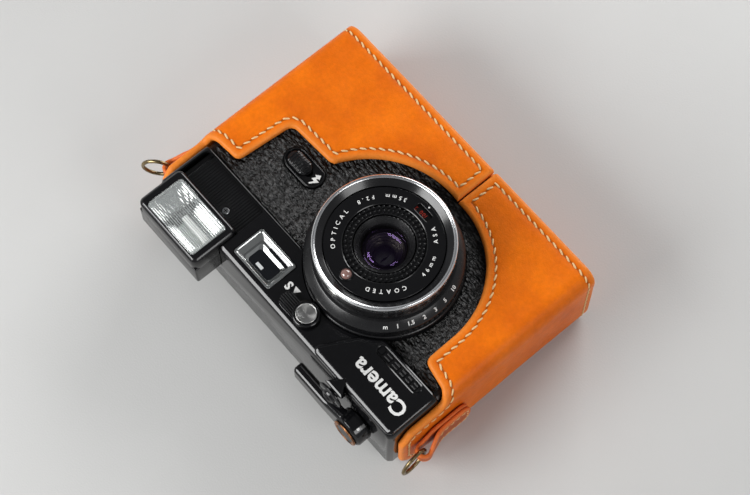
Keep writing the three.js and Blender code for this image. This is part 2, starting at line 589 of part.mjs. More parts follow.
piece('cds_window', turnZ(
  [[0, 51.7], [2.1, 51.7], [2.1, 52.8], [1.4, 53.2], [0, 53.4]], 0, 16.9, SMALL), 'glass');
piece('front_retainer', turnZ([
  [8.1, 46], [10.5, 46], [10.5, 51.9], [10.1, 52.1], [8.4, 50], [8.1, 50], [8.1, 46],
]), 'satinBlack');
piece('front_element', turnZ([
  [0, 46.4], [6, 46.7], [7.8, 47], [7.8, 48.6], [6.4, 49.7], [4.4, 50.6], [2.2, 51.1], [0, 51.3],
]), 'glass');
piece('lens_cell', turnZ([
  [8.1, 38.9], [18.2, 38.9], [18.2, 39.9], [10.4, 39.9], [10.4, 45.6], [7.4, 45.6], [6.8, 44.4], [4.6, 42.8],
  [3.6, 41.6], [8.1, 41.2], [8.1, 38.9],
]), 'satinBlack');
piece('shutter_housing', turnZ(tube(6.9, 18.2, 33.6, 37)), 'casting');
piece('rear_element', turnZ([[0, 33.4], [6.5, 34.4], [6.5, 36.2], [0, 36.9]]), 'glass');

// Two shutter blades on opposite pivots; together they close the aperture.
const blade = polygon([[15, -2.4], [15.6, 0], [15, 2.4], [6, 7], [-0.8, 7.2], [0.6, 0], [-0.8, -7.2], [6, -7]]);
piece('shutter_blade_a', prismZ(blade, 37.3, 37.6), 'steel');
piece('shutter_blade_b', prismZ(blade, 38.2, 38.5).rotate([0, 0, 180]), 'steel');

// ---------------------------------------------------------------- power

const CELL_LOW = -33.1;
const cellNeck = CELL_LOW + CELL.length - 1.4;
const cellProfile = [
  [0, CELL_LOW], [CELL.radius, CELL_LOW], [CELL.radius, cellNeck],
  [2.6, cellNeck], [2.6, CELL_LOW + CELL.length], [0, CELL_LOW + CELL.length],
];
piece('battery_back', turnY(cellProfile, 55, 13.7), 'cell');
piece('battery_front', turnY(cellProfile, 66, 22.9), 'cell');
piece('flash_capacitor', turnY(rod(4.5, -32.8, -8.6), 53.1, 26.3), 'cell');
piece('circuit_board', box(48.2, 57.8, -7.6, 15.4, 21.4, 22.8), 'board');

export default camera;
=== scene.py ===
# Looks for a compact 35 mm camera in a sewn leather half case, lying on its back.
# Lengths are in millimetres in the shape code, and solid() turns them into metres.
import math
import random

import bmesh
import bpy
import numpy as np
from mathutils import Matrix, Vector, geometry


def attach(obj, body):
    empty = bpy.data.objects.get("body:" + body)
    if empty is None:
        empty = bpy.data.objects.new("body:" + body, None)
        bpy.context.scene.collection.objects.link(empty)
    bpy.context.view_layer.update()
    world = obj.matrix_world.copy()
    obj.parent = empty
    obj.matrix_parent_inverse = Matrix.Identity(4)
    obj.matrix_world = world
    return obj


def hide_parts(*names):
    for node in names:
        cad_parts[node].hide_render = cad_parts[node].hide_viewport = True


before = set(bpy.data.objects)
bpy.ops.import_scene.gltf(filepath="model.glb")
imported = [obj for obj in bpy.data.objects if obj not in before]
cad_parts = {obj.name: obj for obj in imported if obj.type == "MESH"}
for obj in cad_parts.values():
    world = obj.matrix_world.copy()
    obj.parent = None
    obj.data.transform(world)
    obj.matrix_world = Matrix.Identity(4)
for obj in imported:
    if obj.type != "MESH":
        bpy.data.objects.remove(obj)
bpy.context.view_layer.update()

MM = 0.001
CASED = "camera_in_case"  # the body that everything fixed rides on
DICE = random.Random(11)
BATCH = 2000  # how many points the distance tables take at a time
MERGE = 2e-7  # metres within which points count as one
CREASE = 32  # degrees past which an edge is left hard

# ---------------- materials


class Nodes:
    """Short calls for building one material's node tree."""

    def __init__(self, name):
        self.material = bpy.data.materials.new(name)
        self.material.use_nodes = True
        self.tree = self.material.node_tree
        self.place = self.node("ShaderNodeTexCoord", "Object")

    def feed(self, socket, value):
        """Links another socket to this one, or sets its number, vector or colour."""
        if isinstance(value, bpy.types.NodeSocket):
            self.tree.links.new(value, socket)
        else:
            socket.default_value = (*value, 1) if socket.type == "RGBA" else value

    def node(self, kind, out=0, settings=(), **inputs):
        """Adds a node and feeds its inputs, named or numbered as i0, i1 and so on."""
        node = self.tree.nodes.new(kind)
        for key, value in settings:
            setattr(node, key, value)
        for key, value in inputs.items():
            self.feed(node.inputs[int(key[1:]) if key[1:].isdigit() else key], value)
        return node.outputs[out]

    def shade(self, **inputs):
        """Feeds the shader, with _ for each space in an input's name, and gives the material."""
        for key, value in inputs.items():
            self.feed(self.tree.nodes["Principled BSDF"].inputs[key.replace("_", " ")], value)
        return self.material

    def stretched(self, scale):
        return self.node("ShaderNodeMapping", Vector=self.place, Scale=scale)

    def noise(self, size, detail=3.0, rough=0.55, stretch=None, out=0):
        """Noise with features about size millimetres across."""
        place = self.stretched(stretch) if stretch else self.place
        return self.node("ShaderNodeTexNoise", out, Vector=place, Scale=1 / (size * MM), Detail=detail,
                         Roughness=rough)

    def cells(self, size, place):
        return self.node("ShaderNodeTexVoronoi", Vector=place, Scale=1 / (size * MM))

    def ramp(self, value, *stops):
        """A colour ramp, grey where a stop gives one number."""
        colours = self.node("ShaderNodeValToRGB", Fac=value)
        elements = colours.node.color_ramp.elements
        while len(elements) < len(stops):
            elements.new(0.5)
        for element, (place, colour) in zip(elements, stops):
            element.position = place
            element.color = (*(colour if isinstance(colour, tuple) else (colour,) * 3), 1)
        return colours

    def mix(self, share, a, b):
        return self.node("ShaderNodeMix", 2, [("data_type", "RGBA")], i0=share, i6=a, i7=b)

    def mottled(self, size, detail, colour, times, plus=0.0):
        """A colour with blotches of a lighter or darker one."""
        return self.mix(self.noise(size, detail), colour, tuple(c * times + plus for c in colour))

    def math(self, operation, a, b=0.0):
        return self.node("ShaderNodeMath", settings=[("operation", operation)], i0=a, i1=b)

    def vector(self, operation, a, b):
        return self.node("ShaderNodeVectorMath", settings=[("operation", operation)], i0=a, i1=b)

    def attribute(self, name):
        return self.node("ShaderNodeAttribute", "Fac", [("attribute_name", name)])

    def bump(self, height, depth, **under):
        """A bump of about depth millimetres, over another given as Normal."""
        return self.node("ShaderNodeBump", Distance=depth * MM, Height=height, **under)


def leather(name, pale, deep, edge, grain=0.05):
    """Smooth vegetable-tanned leather: cloudy colour, fine grain, burnished cut edges, painted shade in its
    stitch groove.
    """
    n = Nodes(name)
    cloud = n.ramp(n.noise(22, 4, 0.6), (0.32, deep), (0.66, pale))
    speck = n.ramp(n.noise(1.6, 5, 0.7), (0.35, 0.90), (0.7, 1.04))
    streak = n.ramp(n.noise(1.4, 3, 0.6), (0.3, tuple(c * 0.86 for c in edge)), (0.7, edge))
    colour = n.mix(n.attribute("edge"), n.vector("MULTIPLY", cloud, speck), streak)
    # painted shade: the colour darkens along the sunk stitch groove, where shadow falls between the stitches
    sewn = n.ramp(n.attribute("groove"), (0.0, 1.0), (0.5, 0.8), (1.0, 0.36))
    pores = n.bump(n.noise(0.9, 4), grain, Normal=n.bump(n.cells(0.55, n.place), grain))
    return n.shade(
        Base_Color=n.vector("MULTIPLY", colour, sewn), Normal=n.bump(n.noise(9, 4), 0.16, Normal=pores),
        Roughness=n.ramp(n.noise(6, 4), (0.3, 0.36), (0.7, 0.5)),
        Coat_Weight=0.05, Coat_Roughness=0.3, Specular_IOR_Level=0.14)


def flock(name, colour):
    n = Nodes(name)
    return n.shade(Base_Color=n.mottled(0.5, 4, colour, 1.8), Normal=n.bump(n.noise(0.35, 5, 0.7), 0.12),
                   Roughness=0.95, Sheen_Weight=0.4)


def enamel(name, colour=(0.003, 0.003, 0.0035), gloss=0.1, dust=0.06, orange_peel=0.004):
    """Black paint or moulded plastic: near black, with faint handling marks in its gloss."""
    n = Nodes(name)
    return n.shade(Base_Color=n.mottled(3, 3, colour, 1.5, 0.001),
                   Roughness=n.ramp(n.noise(5, 5, 0.65), (0.35, gloss), (0.72, gloss + dust)),
                   Normal=n.bump(n.noise(0.6, 3), orange_peel))


def grained(name, valley_painted_shade, ridge_painted_highlight):
    """Black leatherette: pebbles drawn out into short wrinkles along X; painted shade in valleys, painted
    highlight on ridges.
    """
    n = Nodes(name)
    bend = n.vector("MULTIPLY", n.noise(1.9, 2.0, 0.5, out=1), (1.3 * MM,) * 3)
    pebble = n.cells(1.15, n.vector("ADD", n.stretched((0.55, 1.1, 1.0)), bend))
    wrinkle = n.noise(1.9, 3, 0.55, (0.35, 1.5, 1.0))
    height = n.math("ADD", n.math("MULTIPLY", pebble, -1.0), n.math("MULTIPLY", wrinkle, 1.5))
    # the colour follows the height: painted shade in the valleys, a painted highlight on the ridges
    return n.shade(Base_Color=n.ramp(height, (0.25, valley_painted_shade), (0.58, ridge_painted_highlight)), Normal=n.bump(height, 0.9),
                   Roughness=n.ramp(n.noise(2, 3), (0.3, 0.26), (0.7, 0.38)), Specular_IOR_Level=0.3)


def metal(name, colour, rough=0.2, wear=0.1, brushed=None, tarnish=None):
    """Metal with uneven polish, and optionally fine brushing along one axis or dark tarnish."""
    n = Nodes(name)
    stain = tarnish and n.mix(n.ramp(n.noise(2.4, 5, 0.7), (0.4, 0.0), (0.62, 1.0)), colour, tarnish)
    height = n.noise(0.5, 3, 0.6, brushed) if brushed else n.noise(0.8, 3)
    return n.shade(Base_Color=stain or n.mottled(4, 3, colour, 0.86), Metallic=1.0,
                   Roughness=n.ramp(n.noise(3, 5, 0.65), (0.35, rough), (0.7, rough + wear)),
                   Normal=n.bump(height, 0.012 if brushed else 0.006))


def clear(name, tint, alpha, rough=0.04, specular=0.5, coat=0.0, sheen=(1.0, 1.0, 1.0)):
    """A clear or coated pane, seen through by its alpha; sheen colours its reflections."""
    n = Nodes(name)
    return n.shade(Base_Color=n.mottled(6, 2, tint, 0.9), Alpha=alpha, Specular_IOR_Level=specular,
                   Roughness=n.ramp(n.noise(4, 3), (0.4, rough), (0.8, rough + 0.03)),
                   Coat_Weight=coat, Coat_Roughness=0.03, Specular_Tint=sheen)


def paint(name, colour, rough=0.5):
    """Filled lettering, stitches and other small single-coloured marks, with a faint mottle."""
    n = Nodes(name)
    return n.shade(Base_Color=n.mottled(0.8, 3, colour, 0.82), Normal=n.bump(n.noise(0.25, 2), 0.02),
                   Roughness=rough)


def mirror_with_painted_shadow(name, colour, dark, x0, x1):
    """Bright mirror metal with a painted shadow across it, a soft dark band between two places on X."""
    n = Nodes(name)
    x = n.node("ShaderNodeSeparateXYZ", Vector=n.place)
    middle, half = (x0 + x1) / 2 * MM, (x1 - x0) / 2 * MM
    off = n.math("MULTIPLY", n.math("ABSOLUTE", n.math("SUBTRACT", x, middle)), 1 / half)
    # share is 1 across the middle of the painted shadow and fades to none at its sides
    share = n.ramp(off, (0.2, 1.0), (1.0, 0.0))
    return n.shade(Base_Color=n.mix(share, n.mottled(3, 3, colour, 0.88), dark), Metallic=1.0,
                   Roughness=n.ramp(n.noise(3, 4), (0.35, 0.1), (0.7, 0.2)))


def spun(name, colour):
    """Metal spun on a lathe, with the fan-shaped highlights that its fine rings give."""
    n = Nodes(name)
    return n.shade(Base_Color=n.mottled(2, 4, colour, 0.8), Metallic=1.0, Roughness=0.28, Anisotropic=0.85,
                   Tangent=n.node("ShaderNodeTangent", 0, [("direction_type", "RADIAL"), ("axis", "Z")]))


ORANGE = leather("orange_leather", (0.86, 0.182, 0.004), (0.66, 0.120, 0.003), (0.86, 0.245, 0.032))
TAB = leather("tab_leather", (0.46, 0.085, 0.008), (0.30, 0.05, 0.005), (0.78, 0.18, 0.04))
BOARD = leather("leather_board", (0.34, 0.17, 0.07), (0.22, 0.10, 0.04), (0.30, 0.15, 0.06), 0.12)
SUEDE = flock("suede_lining", (0.10, 0.06, 0.035))
THREAD = paint("waxed_thread", (0.84, 0.56, 0.26), 0.55)
GLOSS = enamel("gloss_black")
SATIN = enamel("satin_black", (0.005, 0.005, 0.0055), 0.32, 0.1, 0.01)
MATT = enamel("matt_black", (0.006, 0.006, 0.0065), 0.6, 0.12, 0.03)
RING_BLACK = enamel("ring_black", (0.004, 0.004, 0.0045), 0.24, 0.08, 0.006)
RIM_BLACK = enamel("rim_black", (0.004, 0.004, 0.0045), 0.17, 0.06)
BAFFLE = metal("lens_baffle", (0.07, 0.062, 0.055), 0.34, 0.1)
HEAD_BLACK = enamel("flash_black", gloss=0.19)
VINYL = grained("black_leatherette", 0.0006, 0.045)
CHROME = metal("bright_chrome", (0.88, 0.89, 0.90), 0.2, 0.08)
STEEL = metal("brushed_steel", (0.50, 0.51, 0.52), 0.3, 0.1, (0.25, 1.0, 1.0))
ALLOY = metal("cast_alloy", (0.36, 0.37, 0.38), 0.5, 0.15)
BRASS = metal("antique_brass", (0.33, 0.25, 0.13), 0.26, 0.16, None, (0.11, 0.08, 0.042))
COPPER = metal("rubbed_copper", (0.62, 0.27, 0.11), 0.3, 0.15, None, (0.05, 0.035, 0.03))
# The flash mirror has a painted shadow: a soft dark band across it.
MIRROR = mirror_with_painted_shadow("flash_mirror", (0.90, 0.93, 0.91), (0.05, 0.055, 0.055), 56.6, 63.0)
FACET = metal("moulded_facets", (0.60, 0.62, 0.61), 0.13, 0.1)
SPUN = spun("spun_silver", (0.70, 0.70, 0.68))
WHITE = paint("white_fill", (0.86, 0.86, 0.84))
RED = paint("red_fill", (0.62, 0.05, 0.03))
GLINT = paint("window_glint", (0.62, 0.64, 0.64), 0.3)
GREY = paint("grey_fill", (0.05, 0.05, 0.05))
TUBE_GLASS = clear("flash_tube_glass", (0.93, 0.95, 0.92), 0.85, 0.12)
PANE = clear("clear_pane", (0.55, 0.58, 0.57), 0.07, 0.04, 0.7)
RIB = clear("ribbed_pane", (0.80, 0.84, 0.83), 0.28, 0.08, 0.9)
FROST = clear("smoky_bezel", (0.11, 0.115, 0.115), 0.96, 0.07, 0.9, 0.4)
FINDER_GLASS = clear("finder_glass", (0.004, 0.005, 0.007), 0.86, 0.04, 0.6)
LENS_GLASS = clear("coated_lens", (0.003, 0.0025, 0.004), 0.34, 0.02, 1.0, 0.0, (0.6, 0.36, 1.0))
CELL_GLASS = clear("light_cell", (0.27, 0.15, 0.13), 0.94, 0.05, 1.0, 0.8)
JACKET = enamel("cell_jacket", (0.02, 0.05, 0.14), 0.3, 0.1)
GREEN = enamel("circuit_green", (0.02, 0.10, 0.03), 0.4, 0.1)

# ---------------- outlines


def unit(vectors):
    return vectors / np.maximum(np.linalg.norm(vectors, axis=-1, keepdims=True), 1e-9)


def arc(x, y, radius, start, end, steps):
    """Points on an arc, in degrees."""
    angles = np.radians(np.linspace(start, end, steps + 1))
    return [(x + radius * math.cos(a), y + radius * math.sin(a)) for a in angles]


def rounded(points, steps=6):
    """A closed outline with its corners rounded: points are (x, y) or (x, y, radius)."""
    out = []
    for i, (x, y, *radius) in enumerate(points):
        corner = Vector((x, y))
        before = Vector(points[i - 1][:2]) - corner
        after = Vector(points[(i + 1) % len(points)][:2]) - corner
        angle = before.angle(after) if radius and radius[0] > 0 else math.pi
        if angle > math.pi - 0.02:  # no corner to round
            out.append((x, y))
            continue
        reach = min(radius[0] / math.tan(angle / 2), 0.49 * before.length, 0.49 * after.length)
        r = reach * math.tan(angle / 2)
        u, v = before.normalized(), after.normalized()
        centre = corner + (u + v).normalized() * (r / math.sin(angle / 2))
        first, last = corner + u * reach - centre, corner + v * reach - centre
        start = math.atan2(first.y, first.x)
        sweep = (math.atan2(last.y, last.x) - start + math.pi) % (2 * math.pi) - math.pi
        out += [(centre.x + r * math.cos(start + sweep * k / steps),
                 centre.y + r * math.sin(start + sweep * k / steps)) for k in range(steps + 1)]
    return out


def rectangle(x0, x1, y0, y1, r=0.0, steps=6):
    return rounded([(x0, y0, r), (x1, y0, r), (x1, y1, r), (x0, y1, r)], steps)


def capsule(x, y, length, height, steps=14):
    r, half = height / 2, length / 2 - height / 2
    return arc(x + half, y, r, -90, 90, steps) + arc(x - half, y, r, 90, 270, steps)


def circle(x, y, radius, steps=64):
    return arc(x, y, radius, 0, 360, steps)[:-1]


def area(loop):
    x, y = np.array(loop, float).T
    return 0.5 * float(np.sum(x * np.roll(y, -1) - np.roll(x, -1) * y))


def tidy_loop(loop):
    """Anticlockwise, without repeated points."""
    points = np.array(loop, float)
    points = points[np.linalg.norm(points - np.roll(points, 1, 0), axis=1) > 1e-4]
    return points if area(points) > 0 else points[::-1]


def left_of(ways):
    """Directions turned a quarter anticlockwise."""
    return np.stack([-ways[..., 1], ways[..., 0]], -1)


def inset(loop, depth):
    """Moves each point of an anticlockwise loop inwards."""
    before = left_of(unit(loop - np.roll(loop, 1, 0)))
    n = unit(before + left_of(unit(np.roll(loop, -1, 0) - loop)))
    return loop + n * (depth / np.maximum((n * before).sum(1), 0.5))[:, None]


def distances(points):
    """How far along a line each of its points is."""
    return np.r_[0, np.cumsum(np.linalg.norm(np.diff(points, axis=0), axis=1))]


def between(table, along, places):
    """The rows of a table at other places along its line."""
    return np.array([np.interp(places, along, column) for column in table.T]).T


def resample(loop, step):
    """An anticlockwise closed loop with its points about a step apart."""
    points = np.array(loop, float)
    points = np.vstack([points, points[:1]])
    along = distances(points)
    count = max(int(round(along[-1] / step)), 4)
    even = between(points, along, np.linspace(0, along[-1], count + 1)[:-1])
    return even if area(even) > 0 else even[::-1]


def inside(points, loops):
    """Whether each point is inside an odd number of the loops."""
    hits = np.zeros(len(points), int)
    for loop in loops:
        x1, y1 = loop.T
        x2, y2 = np.roll(loop, -1, 0).T
        span = np.where(y2 == y1, 1e-12, y2 - y1)
        for start in range(0, len(points), BATCH):
            here = slice(start, start + BATCH)
            px, py = points[here, :1], points[here, 1:]
            crosses = (y1 > py) != (y2 > py)
            hits[here] += (crosses & (px < (x2 - x1) * (py - y1) / span + x1)).sum(1)
    return hits % 2 == 1


def clearance(points, loop):
    """Distance from each point to a closed loop."""
    d = np.roll(loop, -1, 0) - loop
    size = np.maximum((d * d).sum(1), 1e-12)
    out = np.empty(len(points))
    for start in range(0, len(points), BATCH):
        here = slice(start, start + BATCH)
        p = points[here, None, :]
        t = np.clip(((p - loop) * d).sum(2) / size, 0, 1)
        out[here] = np.linalg.norm(p - loop - t[..., None] * d, axis=2).min(1)
    return out


# ---------------- shapes, as (points, faces)


# Which of (first, second, height) gives x, y and z, for a shape that stands up along an axis.
# One along Y is drawn in (x, z), and one along X in (y, z).
ALONG_Z, ALONG_Y, ALONG_X = [0, 1, 2], [0, 2, 1], [2, 0, 1]


def lifted(loop, height, to=ALONG_Z):
    """Flat points set at a height, which can differ from point to point."""
    return np.c_[loop, np.broadcast_to(height, len(loop))][:, to]


def fill(loops, extra=()):
    """Triangles that fill loops, the first outside and the others holes, through extra points."""
    points, edges = [], []
    for loop in loops:
        first = len(points)
        points += [Vector(p) for p in loop]
        edges += [(first + i, first + (i + 1) % len(loop)) for i in range(len(loop))]
    points += [Vector(p) for p in extra]
    found, _, faces, *_ = geometry.delaunay_2d_cdt(points, edges, [], 0, 1e-5)
    flat = np.array([tuple(p) for p in found])
    faces = np.array([f for f in faces if len(f) == 3])
    return flat, faces[inside(flat[faces].mean(1), loops)]


def face(loops, z, to=ALONG_Z):
    """A flat face at a height."""
    flat, faces = fill(loops)
    return lifted(flat, z, to), faces


def strips(rings, closed=True):
    """Quads between successive rings of equal length."""
    size = len(rings[0])
    sides = [(i, (i + 1) % size) for i in range(size if closed else size - 1)]
    return np.vstack(rings), [(a + i, a + j, a + size + j, a + size + i)
                              for a in range(0, size * (len(rings) - 1), size) for i, j in sides]


def ended(rings):
    """Strips with a face over the first ring and another over the last."""
    points, faces = strips(rings)
    size = len(rings[0])
    return points, faces + [range(size), range(len(points) - size, len(points))]


def joined(shapes):
    points, faces, first = [], [], 0
    for p, f in shapes:
        points.append(np.array(p, float))
        faces += [tuple(first + int(i) for i in corners) for corners in f]
        first += len(p)
    return np.vstack(points), faces


def moved(shape, offset=(0, 0, 0), turn=0.0, axis="Z"):
    """A shape turned about an axis through the origin, then shifted."""
    points, faces = shape
    return points @ np.array(Matrix.Rotation(turn, 3, axis)).T + np.array(offset, float), faces


def plate(outline, low, high, edge=0.3, holes=(), to=ALONG_Z, steps=3, low_edge=0.0, levels=None):
    """A prism with rounded upper edges, and lower ones if low_edge is given; holes go through.

    Its edge can be given point by point instead, as levels of (inset, height), or as a function
    that gives the levels for each loop's points.
    """
    if levels is None:
        angles = np.linspace(0, math.pi / 2, steps + 1)
        bottom = [(low_edge * (1 - math.sin(a)), low + low_edge * (1 - math.cos(a))) for a in angles]
        top = [(edge * (1 - math.cos(a)), high - edge + edge * math.sin(a)) for a in angles]
        levels = (bottom if low_edge else [(0.0, low)]) + (top if edge else [(0.0, high)])
    parts, lows, highs = [], [], []
    for k, loop in enumerate([outline, *holes]):
        loop = tidy_loop(loop)
        here = list(levels(loop) if callable(levels) else levels)
        if len(here) > 2:  # a narrow flat margin keeps the shading of the bevel off the flat face
            here.append((here[-1][0] + 0.04, here[-1][1]))
        rings = [inset(loop, -depth if k else depth) for depth, _ in here]
        parts.append(strips([lifted(r, z, to) for r, (_, z) in zip(rings, here)]))
        lows.append(rings[0])
        highs.append(rings[-1])
    return joined(parts + [face(lows, np.min(here[0][1]), to), face(highs, np.max(here[-1][1]), to)])


def shaped(outline, levels, to=ALONG_Z, holes=()):
    """A plate whose edge is given level by level."""
    return plate(outline, 0, 0, holes=holes, to=to, levels=levels)


def block(x0, x1, y0, y1, z0, z1, r=0.3):
    return plate(rectangle(x0, x1, y0, y1, r, 3), z0, z1, min(0.7 * r, (z1 - z0) / 2.2), steps=2)


def stack(levels, x0, x1, z0, z1, corner):
    """A box from rings at (inset, height) levels up Y, rounded in plan, with flat ends."""
    loops = [tidy_loop(rectangle(x0 + d, x1 - d, z0 + d, z1 - d, max(corner - d, 0.3))) for d, _ in levels]
    rings = [lifted(loop, y, ALONG_Y) for loop, (_, y) in zip(loops, levels)]
    return joined([strips(rings), face(loops[:1], levels[0][1], ALONG_Y),
                   face(loops[-1:], levels[-1][1], ALONG_Y)])


def lathe(profile, sides=96, centre=(0, 0), to=ALONG_Z, wobble=None):
    """Turns (radius, height) pairs about a line; wobble(angles, point number) adds to the radius."""
    angles = np.radians(np.linspace(0, 360, sides + 1))[:-1]
    rings = []
    for i, (r, h) in enumerate(profile):
        radius = np.full(sides, float(r)) + (wobble(angles, i) if wobble else 0)
        spots = np.c_[radius * np.cos(angles), radius * np.sin(angles)] + centre
        rings.append(lifted(spots, h, to))
    return strips(rings)


def rod(radius, low, high, sides=32, centre=(0, 0), to=ALONG_Z):
    return lathe([(0, low), (radius, low), (radius, high), (0, high)], sides, centre, to)


def turned(points, sides=128, centre=(0, 0), to=ALONG_Z, steps=3):
    """A ring turned from a closed section of (radius, height, corner radius) points."""
    loop = rounded(points, steps)
    return lathe(loop + loop[:1], sides, centre, to)


def ridge(radius, height, half, rise, sides=128, **about):
    """A ring of diamond section, half sunk in the surface that it stands on."""
    return lathe([(radius - half, height), (radius, height + rise), (radius + half, height),
                  (radius, height - rise), (radius - half, height)], sides, **about)


# ---------------- objects


def placed(name, data):
    """A new object in the scene."""
    obj = bpy.data.objects.new(name, data)
    bpy.context.scene.collection.objects.link(obj)
    return obj


def solid(name, shape):
    """A shape as a mesh in metres."""
    points, faces = shape
    mesh = bpy.data.meshes.new(name)
    mesh.from_pydata((points * MM).tolist(), [], faces)
    return mesh


def cleaned(mesh):
    """Merges doubled points and turns the faces outwards."""
    bm = bmesh.new()
    bm.from_mesh(mesh)
    bmesh.ops.remove_doubles(bm, verts=bm.verts, dist=MERGE)
    bmesh.ops.dissolve_degenerate(bm, edges=bm.edges, dist=MERGE / 2)
    bmesh.ops.recalc_face_normals(bm, faces=bm.faces)
    bm.to_mesh(mesh)
    bm.free()


def smoothed(mesh, crease):
    """Smooth shading, with edges sharper than crease degrees left hard."""
    mesh.polygons.foreach_set("use_smooth", [True] * len(mesh.polygons))
    mesh.set_sharp_from_angle(angle=math.radians(crease))


def outcome(obj):
    """The mesh that an object shows, with its modifiers or lettering worked out."""
    bpy.context.view_layer.update()
    return bpy.data.meshes.new_from_object(obj.evaluated_get(bpy.context.evaluated_depsgraph_get()))


def make(name, parts, replaces=None, slot=None, body=CASED, crease=CREASE, values=(), origin=(0, 0, 0)):
    """One object from [((points, faces), material), ...], riding on a body.

    values are (attribute name, a number for each point), which materials can read.
    """
    points, faces = joined([shape for shape, _ in parts])
    materials = list(dict.fromkeys(material for _, material in parts))
    mesh = solid(name, (points - origin, faces))
    mesh.polygons.foreach_set("material_index", [materials.index(m) for (_, f), m in parts for _ in f])
    for key, column in values:
        mesh.attributes.new(key, "FLOAT", "POINT").data.foreach_set("value", np.asarray(column, np.float32))
    cleaned(mesh)
    for material in materials:
        mesh.materials.append(material)
    smoothed(mesh, crease)
    obj = placed(name, mesh)
    obj.location = Vector(origin) * MM
    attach(obj, body)
    if replaces:
        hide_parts(replaces)
    return obj


def carve(obj, cutters):
    """Cuts each shape away from obj for good."""
    for k, shape in enumerate(cutters):
        mesh = solid("cutter", shape)
        cleaned(mesh)
        modifier = obj.modifiers.new("cut", "BOOLEAN")
        modifier.operation, modifier.solver = "DIFFERENCE", "EXACT"
        modifier.object = placed(f"cutter_{k}", mesh)
    mesh = outcome(obj)
    for cutter in [modifier.object for modifier in obj.modifiers]:
        bpy.data.objects.remove(cutter)
    obj.modifiers.clear()
    obj.data = mesh
    smoothed(mesh, CREASE)


def letters(text, size, bold=0.0, depth=0.12):
    """Flat raised lettering centred on the origin."""
    curve = bpy.data.curves.new("letters", "FONT")
    curve.body, curve.size, curve.offset, curve.extrude = text, size, bold, depth / 2
    curve.align_x, curve.align_y, curve.resolution_u = "CENTER", "CENTER", 3
    holder = placed("letters", curve)
    mesh = outcome(holder)
    bpy.data.objects.remove(holder)
    return np.array([v.co for v in mesh.vertices]), [tuple(p.vertices) for p in mesh.polygons]


RING_WORDS = 17.3  # radius of the words and figures round the lens


def ring_text(text, middle, size, z, outward, spacing):
    """Lettering round the lens; outward letters have their tops away from the centre."""
    shapes = [letters(c, size, 0.02) for c in text]
    widths = [np.ptp(points[:, 0]) + size * 0.22 * spacing for points, _ in shapes]
    ends = np.cumsum(widths)
    side = -1 if outward else 1
    out = []
    for shape, width, end in zip(shapes, widths, ends):
        angle = math.radians(middle) + side * (end - width / 2 - ends[-1] / 2) / RING_WORDS
        spot = (RING_WORDS * math.cos(angle), RING_WORDS * math.sin(angle), z)
        out.append(moved(shape, spot, angle + side * math.pi / 2))
    return joined(out)


# ---------------- leather work


class Path:
    """A line in a plane: for a distance along it gives the point and the normal on its left."""

    def __init__(self, points):
        self.points = np.array(points, float)
        self.along = distances(self.points)
        self.normal = left_of(unit(np.gradient(self.points, self.along, axis=0)))
        self.length = self.along[-1]

    def at(self, s):
        return between(self.points, self.along, s), unit(between(self.normal, self.along, s))


STITCH_DEPTH = 3.3  # how far the sewn line is from the cut edge
GROOVE_HALF, GROOVE_DEPTH = 0.75, 0.2
BURNISHED = 0.7, 2.4  # the cut edge's own colour fades between these distances from it


def hide(name, outline, place, thickness, columns, row_step, material, groove=True, roll=1.25, **about):
    """A piece of leather cut to an outline in its own flat plan, and bent to shape by place()."""
    edge = resample(outline, 0.9)
    depths = [0.0, 0.07, 0.25, 0.55, 0.9, roll]  # of the rings that round its rim
    rings = [inset(edge, d) for d in depths]
    half = thickness / 2
    swell = [half * math.sqrt(1 - (1 - d / roll) ** 2) for d in depths]
    rows = np.arange(edge[:, 1].min() + row_step / 2, edge[:, 1].max(), row_step)
    grid = np.array([(s, t) for s in columns for t in rows])
    grid = grid[inside(grid, [edge])]
    grid = grid[clearance(grid, edge) > roll + 0.5]
    extra = [grid]
    if groove:  # lines of points along the groove, and none of the grid's beside them
        extra = [grid[np.abs(clearance(grid, edge) - STITCH_DEPTH) > GROOVE_HALF + 0.35]]
        for off in np.linspace(-GROOVE_HALF, GROOVE_HALF, 5):
            line = inset(edge, STITCH_DEPTH + off)
            extra.append(line[np.abs(clearance(line, edge) - STITCH_DEPTH - off) < 0.05])
    upper, upper_faces = fill([rings[-1]], np.vstack(extra))
    lower, lower_faces = fill([rings[-1]], grid[::2])
    reach = clearance(upper, edge)
    off = np.minimum(np.abs(reach - STITCH_DEPTH) / GROOVE_HALF, 1)
    sunk = 0.5 + 0.5 * np.cos(np.pi * off) if groove else np.zeros(len(upper))

    def bent(points, height):
        return place(points[:, 0], points[:, 1], np.broadcast_to(height, len(points)))

    shape = joined([
        strips([bent(r, half + h) for r, h in zip(rings, swell)]),
        strips([bent(r, half - h) for r, h in zip(rings, swell)]),
        (bent(upper, thickness - GROOVE_DEPTH * sunk), upper_faces), (bent(lower, 0.0), lower_faces),
    ])
    rim = np.repeat(depths, len(edge))
    reach = np.concatenate([rim, rim, reach, clearance(lower, edge)])
    grooves = np.concatenate([np.zeros(2 * len(rim)), sunk, np.zeros(len(lower))])
    return make(name, [(shape, material)], crease=60,
                values=[("edge", np.interp(reach, BURNISHED, (1, 0))), ("groove", grooves)], **about)


SLANT = 17.0  # degrees that each stitch leans from the sewn line
PER_STITCH = 8  # points along the sewn line for each stitch


